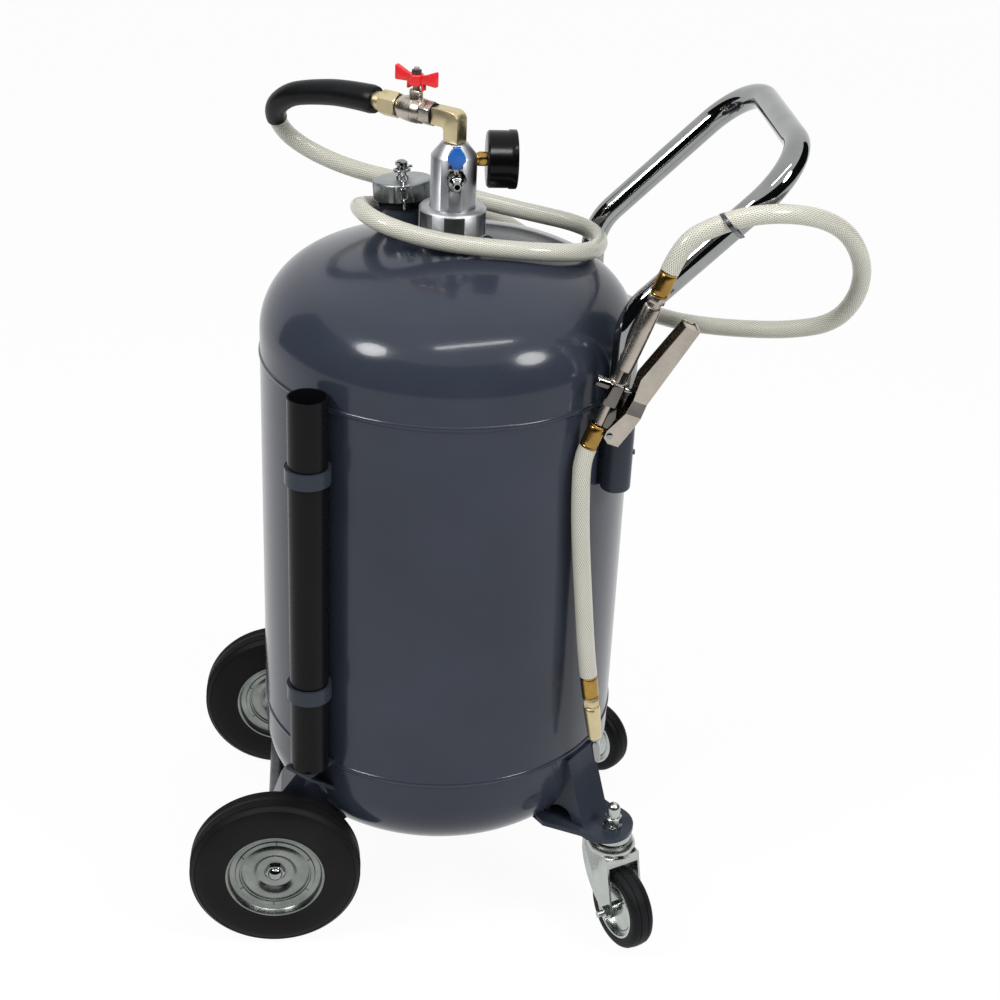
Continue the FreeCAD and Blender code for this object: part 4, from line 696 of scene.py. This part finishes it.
# Hand gun, measured down its axis: ferrules, swivel, tapered tube, valve block, lug and spigot
gun = {
    "top": (196, -175, 811.2), "down": (-0.335, 0, -0.9422), "across": (0.9422, 0, -0.335), "sides": 48,
    "ferrules": (-40, 142), "ferruleLength": 28,
    "swivelFlats": 17.2, "swivelLow": -12, "swivelHigh": -4.5, "swivelEdge": 0.7, "swivelTurn": 30,
    "swivelEnd": [(5, -4.5), (7.4, -4.5), (7.4, 0), (5, 0)],
    "tubeSides": 64,
    "tube": [(6, 0.1), (7.8, 0.1), (9, 0.9), (9.5, 2.6), (9.5, 26), (9.3, 50), (8.9, 68), (8.5, 74.6), (7.9, 75.2),
             (7.9, 87.8), (9.2, 88.2), (9.5, 88.9), (9.5, 90.2), (9.1, 91), (6, 91)],
    "spigot": [(3, 117), (6, 117), (6, 141.9), (3, 141.9)],
    "window": [(-1.6, 6.5), (3.4, 6.5), (3.4, 8.5), (-1.6, 8.5)], "windowTop": 75.6, "windowFoot": 87.6,
    "windowEdge": 0.3,
    "block": [(-9, -6), (-6, -9), (6, -9), (9, -6), (9, 6), (6, 9), (-6, 9), (-9, 6)], "blockTop": 91.1,
    "blockFoot": 117, "blockEdge": 1.2, "blockSteps": 3,
    "crossAt": 96,
    "cross": [(3.2, 7), (6.5, 7), (6.5, 20.5), (6.1, 21), (6.1, 21.6), (6.5, 22), (6.3, 22.8), (5.6, 23), (0, 23)],
    "lug": [(3, 117), (9, 117), (18, 144), (18, 149), (15.5, 151.5), (10.4, 151.5), (10.4, 141.5), (3, 141.5)],
    "lugHalf": 7, "lugEdge": 0.8,
}
gunTop = fromTank(*gun["top"])
gunDown = Vector(gun["down"]).normalized()
gunSide = Vector(gun["across"]).normalized()


def onGun(name, node, work, finish=None, instead=True):
    placedPiece(name, node, work, gunTop, gunDown, gunSide, finish, instead)


def besideGun(name, node, work, finish=None, instead=True):
    # drawn in the plane of the gun and its lever, with the distance down the gun counted as minus Y
    placedPiece(name, node, work, gunTop, nearSide, gunSide, finish, instead)


def ferruleShape(work, foot, length):
    # crimped sleeve with a rolled lip at each end
    lip = [(8, 0), (9, 0), (9.6, 0.5), (9.7, 1.8), (9.3, 2.6), (9.7, 3.4), (9.8, 8)]
    turnedShape(work, [(radius, foot + height) for radius, height in lip]
                + [(radius, foot + length - height) for radius, height in reversed(lip)], gun["sides"])


work = bmesh.new()
for foot in gun["ferrules"]:
    ferruleShape(work, foot, gun["ferruleLength"])
onGun("gun_ferrules_rolled", "gun_ferrules", work)
work = bmesh.new()
hexagonShape(work, gun["swivelFlats"], gun["swivelLow"], gun["swivelHigh"], gun["swivelEdge"], gun["swivelTurn"])
turnedShape(work, gun["swivelEnd"], gun["sides"])
onGun("gun_swivel_hexagon", "gun_swivel", work)
work = bmesh.new()
turnedShape(work, gun["tube"], gun["tubeSides"])
turnedShape(work, gun["spigot"], gun["sides"])
onGun("gun_tube_turned", "gun_body", work)
# the window in the tube is drawn as a black bar: its dark is painted shade inside the opening
work = bmesh.new()
prismShape(work, gun["window"], gun["windowTop"], gun["windowFoot"], gun["windowEdge"])
onGun("gun_window_painted_shade", "gun_body", work, "black_rubber", instead=False)
# the valve block, cross tube and lug take the darker chrome, painted shade and painted reflection of dark
# surroundings
work = bmesh.new()
prismShape(work, gun["block"], gun["blockTop"], gun["blockFoot"], gun["blockEdge"], gun["blockSteps"])
onGun("gun_block", "gun_body", work, "dark_chrome", instead=False)
work = bmesh.new()
turnedShape(work, gun["cross"], gun["sides"])
placedPiece("gun_cross_tube", "gun_body", work, gunTop + gunDown * gun["crossAt"] / 1000, -gunSide, gunDown,
            "dark_chrome", instead=False)
work = bmesh.new()
prismShape(work, [(side, -along) for side, along in gun["lug"]], -gun["lugHalf"], gun["lugHalf"], gun["lugEdge"])
besideGun("gun_lug", "gun_body", work, "dark_chrome", instead=False)

# Lever: folded channel whose side plates step inwards above the pivot, points given aside from and down the gun
lever = {
    "half": 11.8, "lowHalf": 9.9, "stepTop": 100, "stepFoot": 118, "sheet": 1.6,
    "plates": [
        [(38, 6), (18, 76), (20, 100), (35.5, 100), (54, 6)],
        [(20, 100), (19, 118), (36.5, 118), (35.5, 100)],
        [(19, 118), (8.5, 143), (8.5, 151), (15, 156), (27, 156), (33, 134), (36.5, 118)],
    ],
    "back": [(54, 6), (35.5, 100), (36.5, 118), (33, 134), (27, 156)], "backSheet": 1.9, "backInset": 0.2,
    "endStrip": [(38.5, 7.2), (53.5, 7.2), (53.5, 8.8), (38.5, 8.8)], "endHalf": 11.6, "endEdge": 0.2,
    "panel": [(20.2, 100.6), (19.4, 117.4), (36.2, 117.4), (35.3, 100.6)], "panelProud": 0.1,
}
pivot = {
    "down": 147, "aside": 13.5, "sides": 32,
    "head": [(0, 11.6), (2.4, 11.6), (3.4, 11.2), (3.6, 10), (2.6, 10)],
}


def leverHalf(along):
    share = min(1, max(0, (along - lever["stepTop"]) / (lever["stepFoot"] - lever["stepTop"])))
    return lever["half"] + (lever["lowHalf"] - lever["half"]) * share


def leverPlates(work, sections, proud=0.0):
    # the same outline on both sides, each plate as thick as the sheet
    for face in (-1, 1):
        spots = {}
        faces = []
        for section in sections:
            for side, along in section:
                if (side, along) not in spots:
                    spots[side, along] = work.verts.new((side / 1000, -along / 1000, 0))
            faces.append(work.faces.new([spots[point] for point in section]))
        lifted = bmesh.ops.extrude_face_region(work, geom=faces)["geom"]
        inner = [v for v in lifted if isinstance(v, bmesh.types.BMVert)]
        for v in spots.values():
            v.co.z = face * (leverHalf(-v.co.y * 1000) + proud) / 1000
        for v in inner:
            v.co.z = face * (leverHalf(-v.co.y * 1000) - lever["sheet"]) / 1000


work = bmesh.new()
leverPlates(work, lever["plates"])
rings = []
for side, along in lever["back"]:
    half = leverHalf(along) - lever["backInset"]
    rings.append([work.verts.new((x / 1000, -along / 1000, z / 1000))
                  for x, z in ((side, half), (side, -half), (side - lever["backSheet"], -half),
                               (side - lever["backSheet"], half))])
for a, b in zip(rings, rings[1:]):
    for i in range(4):
        work.faces.new((a[i], a[(i + 1) % 4], b[(i + 1) % 4], b[i]))
for ring in (rings[0], rings[-1]):
    work.faces.new(ring)
prismShape(work, [(side, -along) for side, along in lever["endStrip"]], -lever["endHalf"], lever["endHalf"],
           lever["endEdge"])
besideGun("gun_lever_folded", "gun_lever", work)
# a thin sheet of darker chrome on the step of each side plate is painted shade, where the step faces away from the
# light
work = bmesh.new()
leverPlates(work, [lever["panel"]], lever["panelProud"])
besideGun("gun_lever_painted_shade_panel", "gun_lever", work, "dark_chrome", instead=False)
work = bmesh.new()
turnedShape(work, [(radius, -height) for radius, height in pivot["head"]] + pivot["head"][::-1], pivot["sides"])
placedPiece("gun_pivot_rivet", "gun_pivot_pin", work,
            gunTop + gunDown * pivot["down"] / 1000 + gunSide * pivot["aside"] / 1000, nearSide, gunSide)

# Outlet ferrule, on the end of the outlet hose
outletFerrule = {"down": (0.15, 0, -0.9887), "length": 30}
work = bmesh.new()
ferruleShape(work, 0, outletFerrule["length"])
placedPiece("nozzle_ferrule_rolled", "nozzle_ferrule", work, fromTank(*outletRoute[-1]), outletFerrule["down"],
            nearSide)
print("new pieces made")

# Pieces that keep their solid's shape, smoothed
for node in frame["nodes"]:
    if node not in shown:
        smoothCopy(node)
print("nodes shown:", len(shown))

# The clip's strap is drawn narrower than the solid, along the direction between the handle leg and the hose
clip = {"axis": (-0.5346, 0, -0.8451), "share": 0.6}
clipAxis = Vector(clip["axis"])
strap = shown["hose_clip"].data.vertices
strapMiddle = sum((v.co for v in strap), Vector()) / len(strap)
for v in strap:
    v.co -= clipAxis * (v.co - strapMiddle).dot(clipAxis) * (1 - clip["share"])

# Floor, studio room and lamps: sizes in metres, places in millimetres from the tank's axis
studio = {
    "floorSize": 12, "floorDrop": 0.0005, "floorColour": "FAFAFA", "floorGlow": 0.95, "roomLight": 0.5, "aim": 600,
    "lamps": [
        {"name": "keyLamp", "at": (-1317, -822, 2057), "shape": "DISK", "size": 0.6, "power": 24},
        {"name": "fillLamp", "at": (1323, -1076, 1870), "shape": "DISK", "size": 0.6, "power": 20},
        {"name": "stripLamp", "at": (311, -739, 2562), "shape": "RECTANGLE", "size": 1.3, "width": 0.14, "power": 12},
    ],
}


def seenDirectly(tree):
    # one for rays from the camera, and for what a mirror or a window shows
    rays = addNode(tree, "ShaderNodeLightPath").outputs
    seen = rays["Is Camera Ray"]
    for other in ("Is Glossy Ray", "Is Transmission Ray"):
        seen = addNode(tree, "ShaderNodeMath", {0: seen, 1: rays[other]}, operation="MAXIMUM").outputs[0]
    return seen


def paleFloor():
    # painted floor that shows its own shadow but reads as the white background
    material, tree, shader = newMaterial("paleFloor")
    plug(tree, shader, {"Base Color": hexColour(studio["floorColour"]), "Roughness": 0.8})
    share = addNode(tree, "ShaderNodeMath", {0: seenDirectly(tree), 1: studio["floorGlow"]}, operation="MULTIPLY")
    light = addNode(tree, "ShaderNodeEmission", {"Color": (1, 1, 1, 1), "Strength": 1})
    both = addNode(tree, "ShaderNodeMixShader", {0: share.outputs[0], 1: shader.outputs[0], 2: light.outputs[0]})
    plug(tree, tree.nodes["Material Output"], {"Surface": both.outputs[0]})
    return material


work = bmesh.new()
bmesh.ops.create_grid(work, x_segments=2, y_segments=2, size=studio["floorSize"] / 2)
floor = linked("floor", meshOf(work, "floor"))
floor.location.z = -studio["floorDrop"]
floor.data.materials.append(paleFloor())

world = bpy.data.worlds.new("studioRoom")
scene.world = world
world.use_nodes = True
room = world.node_tree
brightness = addNode(room, "ShaderNodeMapRange", {"Value": seenDirectly(room), "To Min": studio["roomLight"]})
plug(room, room.nodes["Background"], {"Color": (1, 1, 1, 1), "Strength": brightness.outputs["Result"]})

for lamp in studio["lamps"]:
    light = bpy.data.lights.new(lamp["name"], "AREA")
    light.shape = lamp["shape"]
    light.size = lamp["size"]
    if "width" in lamp:
        light.size_y = lamp["width"]
    light.energy = lamp["power"]
    holder = linked(lamp["name"], light)
    holder.location = fromTank(*lamp["at"])
    holder.rotation_mode = "QUATERNION"
    holder.rotation_quaternion = (fromTank(0, 0, studio["aim"]) - holder.location).to_track_quat("-Z", "Y")

# Dark cloth hung round the camera, in metres, seen only in the shine of metal and paint
cloth = {"radius": 3.8, "low": 0.12, "high": 3.7, "start": -210, "end": 35, "steps": 32}
work = bmesh.new()
edgeX, edgeY = turnedPoint(cloth["radius"], 0, cloth["start"])
hem = [work.verts.new((edgeX, edgeY, height)) for height in (cloth["low"], cloth["high"])]
bmesh.ops.spin(work, geom=hem + [work.edges.new(hem)], cent=(0, 0, 0), axis=(0, 0, 1),
               angle=math.radians(cloth["end"] - cloth["start"]), steps=cloth["steps"])
darkCloth = linked("darkCloth", meshOf(work, "darkCloth"))
darkCloth.location = fromTank(0, 0, 0)
darkCloth.data.materials.append(moulding("darkWovenCloth", ("1C1D20", "26272A"), (0.9, 1), 8, 0.5, 0, 0))
darkCloth.visible_camera = False
darkCloth.visible_diffuse = False
darkCloth.visible_shadow = False
print("studio lit")
